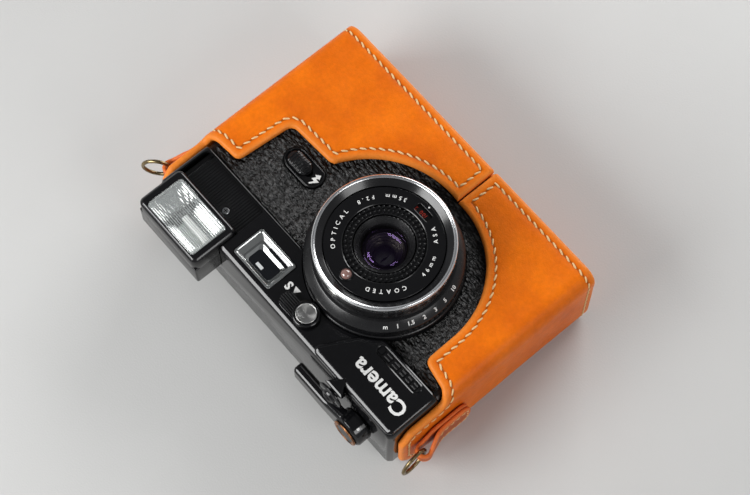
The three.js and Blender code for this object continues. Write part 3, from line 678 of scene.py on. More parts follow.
def stitching(outline, place, height, pitch=3.3, long=2.9, thick=0.34, from_s=-math.inf):
    """Sewn stitches along the line inside an outline, each a bent slanted bar."""
    edge = resample(outline, 0.5)
    line = inset(edge, STITCH_DEPTH)
    line = resample(line[clearance(line, edge) > STITCH_DEPTH - 0.04], pitch / PER_STITCH)
    bars = []
    for k in range(0, len(line) - PER_STITCH + 1, PER_STITCH):
        here = line[k + 4]
        if here[0] < from_s:
            continue
        ahead = unit(line[k + 7] - line[k + 1])
        tilt = math.radians(SLANT + DICE.uniform(-3, 3))
        ahead = ahead * math.cos(tilt) + left_of(ahead) * math.sin(tilt)
        side = left_of(ahead)
        rings = []
        for u in np.linspace(-1, 1, 7):
            full = thick * math.sqrt(max(1 - u ** 4, 0.02))
            lift = height - 0.12 + 0.22 * (1 - u * u)
            ring = np.array([(*(here + ahead * (u * long / 2) + side * (full * math.cos(a))),
                              lift + 0.8 * full * math.sin(a)) for a in np.linspace(0, 2 * math.pi, 7)[:-1]])
            rings.append(place(*ring.T))
        bars.append(ended(rings))
    return joined(bars)


# Half case: one strip of leather that starts at the seam under the lens, runs round the left
# end, the back and the right end, and comes back to the seam.
LEFT, RIGHT, BOTTOM, FRONT, FOLD, HIDE = -52.4, 78.6, -51.4, 37.2, 6.0, 2.8
SEAM = 0.35
wrap_path = Path([(-SEAM, FRONT)] + [point for x, z, start in (
    (LEFT + FOLD, FRONT - FOLD, 90), (LEFT + FOLD, FOLD, 180), (RIGHT - FOLD, FOLD, 270),
    (RIGHT - FOLD, FRONT - FOLD, 0)) for point in arc(x, z, FOLD, start, start + 90, 24)] + [(SEAM, FRONT)])
END = wrap_path.length
QUARTER = FOLD * math.pi / 2
S_LEFT_FOLD = -LEFT - FOLD - SEAM
S_LEFT_WALL = S_LEFT_FOLD + QUARTER
S_BACK = S_LEFT_WALL + FRONT - 2 * FOLD + QUARTER
S_BACK_END = S_BACK + RIGHT - LEFT - 2 * FOLD
S_RIGHT_WALL = S_BACK_END + QUARTER
S_RIGHT_FOLD = S_RIGHT_WALL + FRONT - 2 * FOLD


def left_front(x, y, r=0.0):
    return (-x - SEAM, y, r)


def right_front(x, y, r=0.0):
    return (END - (x - SEAM), y, r)


def wrap_place(s, t, h):
    spot, normal = wrap_path.at(s)
    lean = 0.12 * np.sin(s * 0.071 + 1.3) * np.sin(t * 0.083)  # the leather isn't quite flat
    # the path runs anticlockwise seen from above, so the normal on its left points inside
    spot = spot - normal * (h - HIDE - 0.12 + lean)[:, None]
    return np.c_[spot[:, 0], t, spot[:, 1]]


# How the top is cut: at each end as (z, y, corner radius), and at each side of the back as
# (distance in from the fold, y, corner radius).
WALL = [(31.6, 33.2, 3), (25.5, 37, 2.5), (9, 37, 4)]
BACK = [(-1, 30.0, 4), (1.2, 26, 3), (2.4, 20, 4)]
wrap_outline = rounded(
    [left_front(x, y) for x, y in arc(-1.5, 0.6, 34.4, 272.5, 180, 40)]
    + [left_front(-36.1, 13.0, 3.2), left_front(-47.6, 15.2, 3), (S_LEFT_WALL - 0.9, 18.6, 5)]
    + [(S_LEFT_WALL + FRONT - FOLD - z, y, r) for z, y, r in WALL]
    + [(S_BACK + s, y, r) for s, y, r in BACK] + [(S_BACK_END - s, y, r) for s, y, r in reversed(BACK)]
    + [(S_RIGHT_WALL + z - FOLD, y, r) for z, y, r in reversed(WALL)]
    + [(S_RIGHT_FOLD + 0.7, 17.0, 4), right_front(72, 15.0, 2), right_front(62.2, 14.2, 2.6),
       right_front(60.2, -9.0, 2.8), right_front(41.2, -9.9, 2.0)]
    + [right_front(x, y) for x, y in arc(4.5, 3.2, 37.4, 338, 264, 40)]
    + [(END, -33.9, 0.8), (END, BOTTOM, 0.8), (0, BOTTOM, 0.8)])
wrap_columns = np.concatenate([np.arange(*stretch) for stretch in (
    (1.5, S_LEFT_FOLD, 2.6), (S_LEFT_FOLD, S_LEFT_WALL, 1.05), (S_LEFT_WALL, S_BACK - QUARTER, 2.6),
    (S_BACK - QUARTER, S_BACK, 1.05), (S_BACK, S_BACK_END, 3.4), (S_BACK_END, S_RIGHT_WALL, 1.05),
    (S_RIGHT_WALL, S_RIGHT_FOLD, 2.6), (S_RIGHT_FOLD, S_RIGHT_FOLD + QUARTER, 1.05),
    (S_RIGHT_FOLD + QUARTER, END - 1.5, 2.6))])
hide("case_leather", wrap_outline, wrap_place, HIDE, wrap_columns, 2.5, ORANGE,
     replaces="case_wrap", slot="case_leather")
make("case_stitches", [(stitching(wrap_outline, wrap_place, HIDE - 0.12), THREAD)], crease=60,
     slot="case_leather")

# Sole of the case, with its own stitching, and the brass screw that holds the camera.
EDGE, SOLE_THICK = 3.1, 2.7
SCREW = (12.8, 17.0)
sole_outline = rectangle(LEFT + EDGE, RIGHT - EDGE, EDGE, FRONT - EDGE, 3.2)


def sole_place(s, t, h):
    return np.c_[s, BOTTOM + 0.1 + SOLE_THICK - h, t]


sole = hide("case_sole", sole_outline, sole_place, SOLE_THICK, np.arange(LEFT + EDGE + 2, RIGHT - EDGE, 4.0),
            4.0, ORANGE, replaces="case_base_leather", slot="base_leather")
carve(sole, [rod(9, -60, -40, 64, SCREW, ALONG_Y)])
make("sole_stitches", [(stitching(sole_outline, sole_place, SOLE_THICK, pitch=4.0, long=3.2), THREAD)],
     crease=60, slot="base_leather")


def milled(angles, i):
    """Fine teeth round the screw's head, and none on its flat faces."""
    return 0.12 * (np.sin(angles * 40) > 0) - 0.12 if 2 < i < 14 else 0


head = rounded([(7.6, -47.6, 0.3), (8, -48, 0.2), (8, -50.1, 0.4), (7.2, -50.6, 0.3)], 3)[1:-1]
make("case_screw_head", [
    (lathe([(0, -47.6)] + head + [(0, -50.6)], 96, SCREW, ALONG_Y, milled), BRASS),
    (lathe([(0, -48), (3.1, -48), (3.1, -33), (2.7, -32.6), (0, -32.6)], 32, SCREW, ALONG_Y), BRASS),
    (plate(rectangle(SCREW[0] - 5.4, SCREW[0] + 5.4, SCREW[1] - 0.7, SCREW[1] + 0.7, 0.5), -50.72, -50.55, 0,
           to=ALONG_Y), MATT),
], "case_fixing_screw", "antique_brass", "case_screw")

# Strap tabs: a strip folded round the ring, its two layers sewn together.
LOOP_Y, STRIP, TAB_Z = 30.2, 1.4, 17.5
WIDE, NARROW = 5.5, 2.5  # half widths where the strip is sewn, and round the ring
ENDS = (("left", -1, LEFT, 6), ("right", 1, RIGHT, 48))  # the last number is the ring's lean
tab_line = np.array(
    [(0.72, 8.4), (0.72, 16), (0.72, 22), (0.72, 26), (0.80, 28.2)] + arc(3.3, LOOP_Y, 2.42, 180, -34, 20)
    + [(4.4, 27.1), (3.4, 24.9), (2.62, 22.8), (2.26, 20.6), (2.2, 16), (2.2, 8.4)])
for _ in range(2):  # cuts the corners off, which leaves a smooth line
    near, far = tab_line[:-1] * 0.75 + tab_line[1:] * 0.25, tab_line[:-1] * 0.25 + tab_line[1:] * 0.75
    tab_line = np.vstack([tab_line[:1], np.stack([near, far], 1).reshape(-1, 2), tab_line[-1:]])
tab_path = Path(tab_line)
STRAP = tab_path.length
low_side = [(0, -WIDE, 4.6), (15.6, -WIDE, 3), (20.6, -NARROW, 2),
            (STRAP - 21.2, -NARROW, 2), (STRAP - 15.8, -WIDE, 3), (STRAP, -WIDE, 4.6)]
tab_outline = rounded([(s, TAB_Z + v, r) for s, v, r in low_side]
                      + [(s, TAB_Z - v, r) for s, v, r in reversed(low_side)])
tab_sewn = rectangle(STRAP - 20.5, STRAP + 1.6, TAB_Z - 7.1, TAB_Z + 7.1)
for end, side, wall, _ in ENDS:
    def tab_place(s, t, h, side=side, wall=wall):
        spot, normal = tab_path.at(s)
        spot = spot + normal * (h - STRIP / 2)[:, None]
        return np.c_[wall + side * (0.3 + spot[:, 0]), spot[:, 1], t]

    hide(f"tab_{end}", tab_outline, tab_place, STRIP, np.arange(1, STRAP, 1.0), 1.5, TAB, groove=False,
         roll=0.6, replaces=f"strap_tab_{end}", slot="tab_leather")
    sewn = stitching(tab_sewn, tab_place, STRIP, pitch=2.6, long=2.0, thick=0.24, from_s=STRAP - 16.4)
    make(f"tab_{end}_stitches", [(sewn, THREAD)], crease=60, slot="tab_leather")


def ring_shape(side, wall, lean):
    """A ring of round wire that hangs in its tab's loop."""
    radius, wire = 5.3, 0.7
    rings = []
    for a in np.linspace(0, 2 * math.pi, 73):
        middle = np.array([0, radius * math.cos(a) + radius - 0.3, radius * math.sin(a)])
        out = np.array([0, math.cos(a), math.sin(a)])
        rings.append(np.array([middle + out * wire * math.cos(b) + np.array([wire * math.sin(b), 0, 0])
                               for b in np.linspace(0, 2 * math.pi, 15)[:-1]]))
    return moved(strips(rings), (wall + side * 3.6, LOOP_Y, TAB_Z), -side * math.radians(lean))


for end, side, wall, lean in ENDS:
    make(f"ring_{end}", [(ring_shape(side, wall, lean), BRASS)], f"strap_ring_{end}", "antique_brass",
         f"ring_{end}", crease=60)

# ---------------- camera covers

BODY = (-49.2, 74.8)
COVER_Z, DECK, COVER_LOW, COVER_BACK, WALL_THICK = 35.3, 39.8, 18.3, 3.2, 1.4
WELL = (41.0, 72.9)
FINDER = (17.9, 37.4, 23.6, 37.1)
LENS_CUT = 28.4  # radius of the gap that the covers leave round the lens
HUB, BUTTON, TIMER = (-34.0, 19.5), (-23.0, 29.6), (2.3, 32.9)  # the first two in (x, z)
SWITCH = (45.5, -2.2)

# The upper edge is a flat bevel, softened on both sides, that catches the light along the front.
cover_levels = [(0.5, COVER_LOW), (0.2, COVER_LOW + 0.12), (0.05, COVER_LOW + 0.3), (0.0, COVER_LOW + 0.6),
                (0.0, DECK - 1.65), (0.06, DECK - 1.45), (0.6, DECK - 0.72), (0.8, DECK - 0.42),
                (1.1, DECK - 0.16), (1.5, DECK)]
cover = make("cover_top", [(stack(cover_levels, *BODY, COVER_BACK, COVER_Z, 3.0), GLOSS)],
             "top_cover", "cover_gloss")
carve(cover, [
    stack([(0, 10), (0, DECK - WALL_THICK)], BODY[0] + WALL_THICK, BODY[1] - WALL_THICK,
          COVER_BACK + WALL_THICK, COVER_Z - WALL_THICK, 1.6),
    rod(LENS_CUT, 20, 45, 128),
    plate(rectangle(*FINDER, 1.2), 30, 45, 0),
    plate(rectangle(21, 35, 25.5, 34.5, 1.8), 0, 12, 0),
    plate(rectangle(*WELL, 30, 60, 0), 19, 60, 0),
    plate(rectangle(*WELL, 19.1, 60, 2.6), 30, 60, 0),
    rod(3.4, 30, 50, 40, HUB, ALONG_Y), rod(2.4, 30, 50, 32, BUTTON, ALONG_Y), rod(1.9, 30, 50, 32, TIMER),
    plate([(-28.6, 43.0), (-23.8, 36.6), (-19.0, 43.0)], 30.6, 45, 0),
])

# Raised panel at the left, cut back round the lens, with a long recess that holds a row of bars.
panel_outline = rounded([(-48.4, 39.4, 2.1), (-48.4, 18.7, 2.1)] + arc(0, 0, LENS_CUT, 138.9, 123.2, 8)
                        + [(-6.9, 39.4, 2.1)])
RECESS = (-32.7, 21.65, 20.6, 3.5)
BROAD_EDGE = [(0.0, 35.2), (0.0, 35.48), (0.06, 35.58), (1.0, 36.18), (1.5, 36.4), (1.65, 36.45),
              (1.9, 36.48)]
NARROW_EDGE = [(0.0, 35.2), (0.0, 36.2), (0.04, 36.25), (0.12, 36.3), (0.42, 36.43), (0.47, 36.46),
               (0.52, 36.48)]
BARS = ((-41.8, 2.3), (-38.8, 2.3), (-35.8, 2.3), (-32.6, 3.0), (-28.8, 3.0), (-25.1, 2.0))


def panel_edge(loop):
    """A broad bevel along the panel's top, and a narrow one round the rest and the recess."""
    share = np.clip((loop[:, 1] - 37.3) / 2.1, 0, 1)
    return [(a * share + c * (1 - share), b * share + d * (1 - share))
            for (a, b), (c, d) in zip(BROAD_EDGE, NARROW_EDGE)]


bars = [block(x, x + w, 20.5, 22.8, 35.5, 36.2, 0.25) for x, w in BARS]
ridges = [block(x + 0.2, x + w - 0.2, y, y + 0.45, 36.0, 36.3, 0.15)
          for x, w in BARS[:5] for y in (20.75, 22.05)]
slash = rounded([(-9.4, 37.6, 0.1), (-17.0, 24.1, 0.1), (-16.6, 23.9, 0.1), (-9.0, 37.6, 0.1)], 1)
make("panel_front", [
    (shaped(panel_outline, panel_edge, holes=[capsule(*RECESS)]), GLOSS),
    (plate(capsule(*RECESS), 35.0, 35.6, 0.0), SATIN),
    (joined(bars), GLOSS), (joined(ridges), GREY),
    (plate(slash, 36.3, 36.56, 0.05), RING_BLACK),
], "front_panel", "cover_gloss")
make("panel_word", [(moved(letters("Camera", 7.7, 0.17, 0.14), (-33.4, 30.6, 36.52)), WHITE)],
     slot="cover_gloss")

# Front leatherette, cut away round the lens and the flash switch.
skin = rounded([(-46.2, 17.8, 1), (-46.2, -34.2, 1), (71.8, -34.2, 1), (71.8, 17.8, 1)])
make("skin_front", [
    (plate(skin + arc(0, 0, LENS_CUT, 38.8, -218.8, 110), 33.4, 34.05, 0.25,
           [capsule(*SWITCH, 18.4, 9.6)]), VINYL),
], "front_leatherette", "leatherette")

# ---------------- advance lever and release

arm = rounded([(-34, 13.5), (-20, 13.3, 4), (-5.2, 14.5, 1.4), (-5.2, 21.9, 1.4), (-22, 21.9, 5),
               (-29.5, 24.4, 2), (-34, 25.2)])
ARM_EDGE = [(0.4, 42.0), (0.1, 42.15), (0.0, 42.5), (0.0, 44.9), (0.07, 45.1), (0.55, 45.8), (0.8, 46.02),
            (1.2, 46.2)]
drum = rounded([(5.9, 40.1, 0.2), (6.4, 40.8, 0.3), (6.4, 45.5, 0.6), (5.7, 46.2, 0.3), (0, 46.2)], 4)
make("lever_advance", [
    (lathe([(0, 40.1)] + drum + [(0, 46.2)], 96, HUB, ALONG_Y), GLOSS),
    (shaped(arm, ARM_EDGE, ALONG_Y), GLOSS),
    (plate(rectangle(-19.5, -6.4, 21.5, 22.15, 0.2), 43.0, 43.5, 0.1, to=ALONG_Y), SATIN),
    (rod(3, 18.6, 41, 40, HUB, ALONG_Y), SATIN), (rod(5.6, 46.1, 46.3, 64, HUB, ALONG_Y), SATIN),
    (moved(lathe([(0, 0), (0.55, 0), (0.5, 0.12), (0, 0.14)], 20), (-37.2, 43.6, 25.1)), WHITE),
], "advance_lever", "cover_gloss", "advance")
dish = rounded([(5.2, 46.5, 0.2), (5.4, 47.0, 0.2), (5.0, 47.35, 0.2), (4.3, 47.3, 0.2), (4.0, 47.0, 0.1),
                (0, 47.05)], 3)
make("lever_cap", [
    (lathe([(0, 46.7)] + dish + [(0, 47.05)], 96, HUB, ALONG_Y), COPPER),
    (lathe([(0, 47.0), (3.9, 47.0), (3.8, 47.14), (0, 47.2)], 64, HUB, ALONG_Y), SATIN),
], "advance_lever_cap", "lever_copper", "advance")

button = rounded([(5.0, 43.2, 0.2), (5.5, 43.6, 0.25), (5.4, 44.1, 0.25), (4.6, 44.45, 0.3), (3.0, 44.4, 0.1),
                  (2.75, 45.0, 0.4), (1.7, 45.6, 0.4)], 3)
make("button_release", [
    (lathe([(0, 43.2)] + button + [(0, 45.7)], 80, BUTTON, ALONG_Y), GLOSS),
    (joined([ridge(r, h, 0.16, 0.16, 64, centre=BUTTON, to=ALONG_Y)
             for r, h in ((0.5, 45.62), (1.0, 45.6), (1.5, 45.53), (2.0, 45.3))]), RING_BLACK),
    (rod(2, 35, 44, 32, BUTTON, ALONG_Y), SATIN),
], "shutter_button", "body_satin", "button")
make("collar_release", [
    (turned([(2.4, 40.1, 0.1), (3.45, 40.1, 0.1), (3.45, 41.7, 0.35), (2.4, 41.7, 0.1)], 64, BUTTON, ALONG_Y),
     GLOSS),
    (shaped([(-28.0, 43.0), (-23.8, 37.3), (-19.6, 43.0)],
            [(0, 35.4), (0, 36.4), (0.1, 36.6), (0.6, 36.9), (0.8, 36.96)]), GLOSS),
    (plate([(-27.1, 41.7), (-23.8, 37.3), (-20.5, 41.7)], 31.2, 35.5, 0), GLOSS),
    (block(-25.6, -22.0, 40.1, 41.1, 30.5, 32.5), GLOSS),
], "shutter_collar", "cover_gloss")

# ---------------- self-timer

LOBE_X, LOBE_Y = 10.2, 34.2  # the middle of the lever's rounded end
lobe = arc(LOBE_X, LOBE_Y, 3.4, -90, 90, 20) + [(TIMER[0], 37.3), (TIMER[0], 30.3)]
timer_ribs = [block(4.9, LOBE_X + math.sqrt(max(3.1 ** 2 - (y + 0.2 - LOBE_Y) ** 2, 0.1)), y, y + 0.42,
                    36.4, 36.95, 0.18) for y in np.arange(31.3, 37.1, 0.86)]
cup = rounded([(4.7, 35.7, 0.1), (5.0, 36.1, 0.2), (4.85, 37.7, 0.25), (4.5, 37.95, 0.2), (4.1, 37.8, 0.1),
               (4.0, 37.1, 0.1)], 3)
make("timer_lever", [
    (lathe([(0, 35.7)] + cup + [(0, 37.0)], 96, TIMER), GLOSS),
    (plate(lobe, 35.7, 36.6, 0.25), GLOSS),
    (joined(timer_ribs), SATIN),
    (rod(1.5, 32.6, 36, 32, TIMER), STEEL),
], "selftimer_lever", "cover_gloss", "timer")
saucer = ([(0, 37.3), (3.85, 37.3)] + rounded([(3.85, 38.0, 0.1), (3.6, 38.35, 0.2), (3.2, 38.2, 0.2)], 3)
          + [(2.6, 37.9), (1.9, 37.72), (1.2, 37.58), (0.6, 37.5), (0.05, 37.48)])
make("timer_cap", [(lathe(saucer, 96, TIMER), SPUN)], "selftimer_cap", "bright_chrome", "timer",
     origin=(*TIMER, 37))
make("timer_mark", [
    (plate([(10.2, 28.7), (13.0, 28.7), (11.6, 31.1)], 35.3, 35.4, 0), WHITE),
    (moved(letters("S", 4.3, 0.16, 0.1), (14.7, 30.2, 35.35)), WHITE),
], slot="cover_gloss")

# ---------------- viewfinder


def pane(left, right, low, high, r=0.9):
    """A rounded outline inside the viewfinder's opening, by its distance from each side."""
    x0, x1, y0, y1 = FINDER
    return tidy_loop(rectangle(x0 + left, x1 - right, y0 + low, y1 - high, r))


# A clear block with a sloping rim, a bright facet inside it, and a domed rounded window. Each
# step is an outline, its height, and the material between it and the step before.
steps = [
    (pane(0.3, 0.3, 0.3, 0.3), 34.4, FROST), (pane(0.3, 0.3, 0.3, 0.3), 35.38, FROST),
    (pane(0.4, 0.4, 0.4, 0.4), 35.5, FACET), (pane(0.95, 0.95, 0.95, 0.95), 35.5, FROST),
    (pane(1.2, 1.2, 1.2, 1.2), 35.3, FACET), (pane(1.35, 1.5, 1.45, 1.3), 35.3, FROST),
    (pane(1.9, 3.4, 2.6, 1.6, 1.0), 34.6, FROST), (pane(2.1, 4.2, 3.5, 1.8, 1.2), 34.5, FACET),
    (pane(2.6, 5.7, 5.2, 2.1, 1.4), 35.2, FACET), (pane(2.9, 6.3, 5.9, 2.4, 1.4), 35.2, FINDER_GLASS),
]
bands = [(strips([lifted(outer, z_out), lifted(inner, z_in)]), material)
         for (outer, z_out, _), (inner, z_in, material) in zip(steps, steps[1:])]
bands += [(face([loop], z), material) for loop, z, material in (steps[0], steps[-1])]
make("finder_window", bands + [
    # the light grey patch is a painted glint on the window's glass
    (plate(rectangle(25.3, 28.4, 32.8, 34.0, 0.15), 35.2, 35.3, 0.0), GLINT),
    (plate(capsule(25.0, 26.6, 9.4, 1.3), 34.3, 34.72, 0.05), FINDER_GLASS),
], "viewfinder_window", "clear_plastic", crease=20)
make("finder_eyepiece", [
    (plate(rectangle(22.4, 33.6, 26.9, 33.1, 1.0), 4.4, 6.4, 0.2), FINDER_GLASS),
    (plate(rectangle(21.3, 34.7, 25.8, 34.2, 1.5), 3.5, 6.2, 0.2, [rectangle(22.6, 33.4, 27.1, 32.9, 1.0)],
           low_edge=0.4), SATIN),
], "viewfinder_eyepiece", "lens_glass")

# ---------------- pop-up flash

FLASH = (41.3, 72.6, 31.4, 50.6)
GLASS = (44.1, 69.5, 33.4, 49.2)
HEAD_EDGE = [(0.5, 29.3), (0.1, 29.5), (0.0, 29.9), (0.0, 36.35), (0.08, 36.5), (0.75, 37.05), (1.0, 37.22),
             (1.25, 37.3)]
roof = rounded([(38.7, 19.3, 0.5), (50.58, 19.3, 1.4), (50.58, 30.4, 0.3), (38.7, 30.4, 0.3)], 5)
shell = make("flash_shell", [
    (shaped(rectangle(*FLASH, 2.4, 8), HEAD_EDGE), HEAD_BLACK),
    (plate(roof, FLASH[0], FLASH[1], 0.5, to=ALONG_X, low_edge=0.5), HEAD_BLACK),
], "flash_head", "flash_satin", "flash")
carve(shell, [plate(rectangle(*GLASS, 1.2), 30.5, 60, 0)])


def trough():
    """The flash's mirror: a deep curved channel behind the tube, and a flatter fan beside it."""
    margin, foot_z = 0.35, 30.9
    x0, x1, y0, y1 = GLASS[0] + margin, GLASS[1] - margin, GLASS[2] + margin, GLASS[3] - margin
    middle, half = (y0 + y1) / 2, (y1 - y0) / 2
    xs = np.r_[np.linspace(x0, 57.5, 14), np.linspace(57.9, 61.5, 12), np.linspace(61.8, x1, 26)]
    gx, gy = np.meshgrid(xs, np.linspace(y0, y1, 121), indexing="ij")
    v = (gy - middle) / half
    ripple = 0.1 * np.abs(np.sin(gy * math.pi / 0.8))
    near_end = 2.6 * np.clip((x0 + 1.6 - gx) / 1.6, 0, 1) ** 2
    deep = 32.2 + 3.3 * np.abs(v) ** 2.2 + ripple + near_end
    spokes = np.arctan2(gy - middle, gx - 54.0)
    far_end = 0.6 * np.clip((gx - x1 + 1.5) / 1.5, 0, 1)
    fan = 34.0 + 1.1 * v ** 2 + 0.025 * np.cos(spokes * 36) + far_end + ripple
    share = np.clip((gx - 58.2) / 2.8, 0, 1)
    share = share * share * (3 - 2 * share)
    top = np.minimum(deep * (1 - share) + fan * share, 35.85)
    grid = np.stack([gx, gy, top], 2)
    rim = np.vstack([grid[0], grid[1:-1, -1], grid[-1, ::-1], grid[-2:0:-1, 0]])
    foot = rim * (1, 1, 0) + (0, 0, foot_z)
    return joined([strips(list(grid), closed=False), strips([rim, foot]), face([foot[:, :2]], foot_z)])


LAMP = (41.5, 34.3)  # where the flash tube lies in (y, z), along X
make("flash_mirror", [(trough(), MIRROR)], "flash_reflector", "reflector", "flash", crease=50)
make("flash_lamp", [
    (lathe([(0, 45.6), (1.2, 45.7), (1.35, 46.1), (1.35, 57.8), (1.2, 58.2), (0, 58.3)], 32, LAMP, ALONG_X),
     TUBE_GLASS),
    (lathe([(0, 58.0), (1.5, 58.1), (1.5, 60.0), (0, 60.1)], 32, LAMP, ALONG_X), SATIN),
], "flash_tube", "clear_plastic", "flash")
window_ribs = [plate(rectangle(44.9, 68.7, y, y + 0.3, 0.1, 1), 37.28, 37.42, 0.06, steps=1)
               for y in np.arange(34.2, 48.6, 0.8)]
window = rectangle(44.4, 69.2, 33.7, 48.9, 1.0)
make("flash_pane", [
    (plate(window, 36.4, 37.3, 0.3), PANE),
    (plate(window, 36.3, 37.42, 0.2, [rectangle(44.9, 68.7, 34.2, 48.4, 0.8)], steps=2), RIB),
    (joined(window_ribs), RIB),
], "flash_window", "clear_plastic", "flash")

APRON_SCREW = (51.6, 28.6)
apron_xs = np.arange(43.0, 69.6, 1.05)
apron_ribs = [block(x, x + 0.6, 19.3, 26.3 if short else 30.4, 31.7, 32.1, 0.18)  # short below the screw
              for short in (False, True) for x in apron_xs if (abs(x + 0.3 - APRON_SCREW[0]) <= 2.2) == short]
apron = rounded([(41.6, 18.1, 2.4), (72.3, 18.1, 0.8), (72.3, 31.1, 0.3), (41.6, 31.1, 0.3)])
make("apron", [
    (plate(apron, 30.6, 31.8, 0.25, [circle(*APRON_SCREW, 1.6, 24)]), SATIN), (joined(apron_ribs), SATIN),
    (plate(circle(*APRON_SCREW, 1.9, 28), 30.7, 30.9, 0), SATIN),
    (plate(rectangle(70.2, 71.0, 18.8, 30.6, 0.2), 31.7, 32.1, 0.15), GLOSS),
], "flash_apron", "flash_satin", "flash")
make("apron_screw", [
    (lathe([(0, 31.2), (1.3, 31.2), (1.3, 31.85), (1.1, 32.0), (0, 32.05)], 32, APRON_SCREW), STEEL),
    (plate(rectangle(50.8, 52.4, 28.45, 28.75, 0.05, 1), 31.9, 32.1, 0), MATT),
    (plate(rectangle(51.45, 51.75, 27.8, 29.4, 0.05, 1), 31.9, 32.1, 0), MATT),
], "flash_apron_screw", "steel", "flash")

# ---------------- flash switch

SWITCH_X, SWITCH_Y = SWITCH
KNOB_X = SWITCH_X + 2.5
bolt = [(39.5 + x, y - 2.15) for x, y in (
    (0.41, 2.64), (0.91, 2.4), (0.0, 0.66), (1.45, 0.5), (0.62, -0.9), (1.45, -1.32), (-0.2, -2.64),
    (-1.03, -1.0), (-0.37, -1.07), (-0.04, -0.41), (-1.57, -0.33))]
make("switch_bezel", [
    (plate(capsule(*SWITCH, 17.6, 8.8), 33.4, 34.5, 0.25, [capsule(*SWITCH, 16.4, 7.6)]), GLOSS),
    (plate(capsule(*SWITCH, 16.6, 7.8), 33.4, 33.75, 0, [capsule(SWITCH_X + 0.2, SWITCH_Y, 8.4, 3.2)]),
     GLOSS),
    (plate(bolt, 33.7, 33.95, 0.04, steps=1), WHITE),
], "flash_switch_bezel", "body_satin")


def knob(low, high):
    """A capsule button whose top swells, with cross ribs over its middle."""
    x, y = KNOB_X, SWITCH_Y
    outline = resample(tidy_loop(capsule(x, y, 10.8, 6.8, 18)), 0.22)
    rings = [lifted(outline, low)]
    for u in np.linspace(0, 1, 17):
        px, py = x + (outline[:, 0] - x) * (1 - u * 0.97), y + (outline[:, 1] - y) * (1 - u * 0.97)
        swell = (high - low) * (0.25 * min(u * 12, 1) + 0.75 * (1 - (1 - u) ** 2))
        ribs = np.where(np.abs(px - x) < 3.6, 0.42 * np.abs(np.cos((px - x) * math.pi / 1.15)) - 0.14, 0)
        rings.append(np.c_[px, py, low + swell + ribs * min(u * 5, 1)])
    return ended(rings)


make("switch_knob", [
    (knob(34.1, 35.9), HEAD_BLACK), (plate(capsule(KNOB_X + 0.3, SWITCH_Y, 2.4, 2.2), 32.3, 34.3, 0), SATIN),
], "flash_switch_slider", "body_satin", "switch", crease=50)

# ---------------- lens

make("lens_foot", [
    (turned([(20, 33.4, 0.1), (28, 33.4, 0.1), (28, 35.9, 0.6), (27.2, 36.5, 0.3), (20, 36.5, 0.1)]),
     RING_BLACK),
], "lens_base", "lens_black")

KNURL = 84  # grooves that a whole turn of the focusing ring would have
FOCUS = [(22.6, 36.8), (27.5, 36.8), (27.8, 37.1), (27.8, 37.6), (27.8, 37.7), (27.8, 40.9), (27.8, 41.0),
         (27.8, 41.4), (27.6, 41.7), (25.2, 44.3), (24.9, 44.5), (22.6, 44.5), (22.6, 36.8)]


def knurled(angles, i):
    """Grooves in two points of the ring's section, past 150 degrees round it."""
    grooves = np.where(np.cos(angles * KNURL) > -0.1, -0.42, 0.0)
    return grooves * (np.degrees(angles) > 150) if i in (4, 5) else 0


def on_bevel(text, angle):
    """Lettering that lies on the focusing ring's sloping front, its top towards the lens's middle."""
    way = math.radians(angle)
    leaning = moved(letters(text, 2.2, 0.05, 0.1), turn=math.pi / 4, axis="X")
    return moved(leaning, (26.45 * math.cos(way), 26.45 * math.sin(way), 43.05), way + math.pi / 2)


distance_marks = [on_bevel(text, angle) for text, angle in (
    ("m", 140), ("1", 149), ("1.5", 159), ("2", 170), ("3", 180), ("5", 190), ("10", 201))]
make("focus_grip", [(lathe(FOCUS, KNURL * 8, wobble=knurled), RING_BLACK), (joined(distance_marks), WHITE)],
     "focus_ring", "lens_black", "focus", crease=40)

index_mark = block(24.1, 24.3, -0.24, 0.24, 46.0, 49.4, 0.08)
index_marks = [moved(index_mark, turn=math.radians(angle)) for angle in (36.5, 40.5)]
make("barrel_front", [
    (turned([(18.5, 36.8, 0), (22.2, 36.8, 0.1), (22.2, 44.9, 0.1), (23.9, 44.9, 0.2), (24.2, 45.3, 0.2),
             (24.2, 51.4, 0.1), (20.7, 51.4, 0.1), (20.7, 49.6, 0.1), (18.5, 49.6, 0.1)]), RING_BLACK),
    (ridge(24.17, 50.35, 0.15, 0.15), RING_BLACK),
    (joined(index_marks), WHITE),
], "front_barrel", "lens_black")
thread = [(21.1 + 2.25 * k / 12 + (0.07 if k % 2 else 0), 52.5 + 1.75 * k / 12) for k in range(12, -1, -1)]
make("rim_filter", [
    (turned([(23.3, 52.0, 0.05), (24.45, 52.0, 0.1), (24.7, 52.3, 0.1), (24.7, 54.2, 0.5), (24.1, 54.9, 0.35),
             (23.3, 54.45, 0.3)], 160, steps=5), CHROME),
    (lathe([(21.1, 51.7), (23.4, 51.7), (23.4, 54.2)] + thread + [(21.1, 51.7)], 160), RIM_BLACK),
], "filter_ring", "bright_chrome", crease=50)

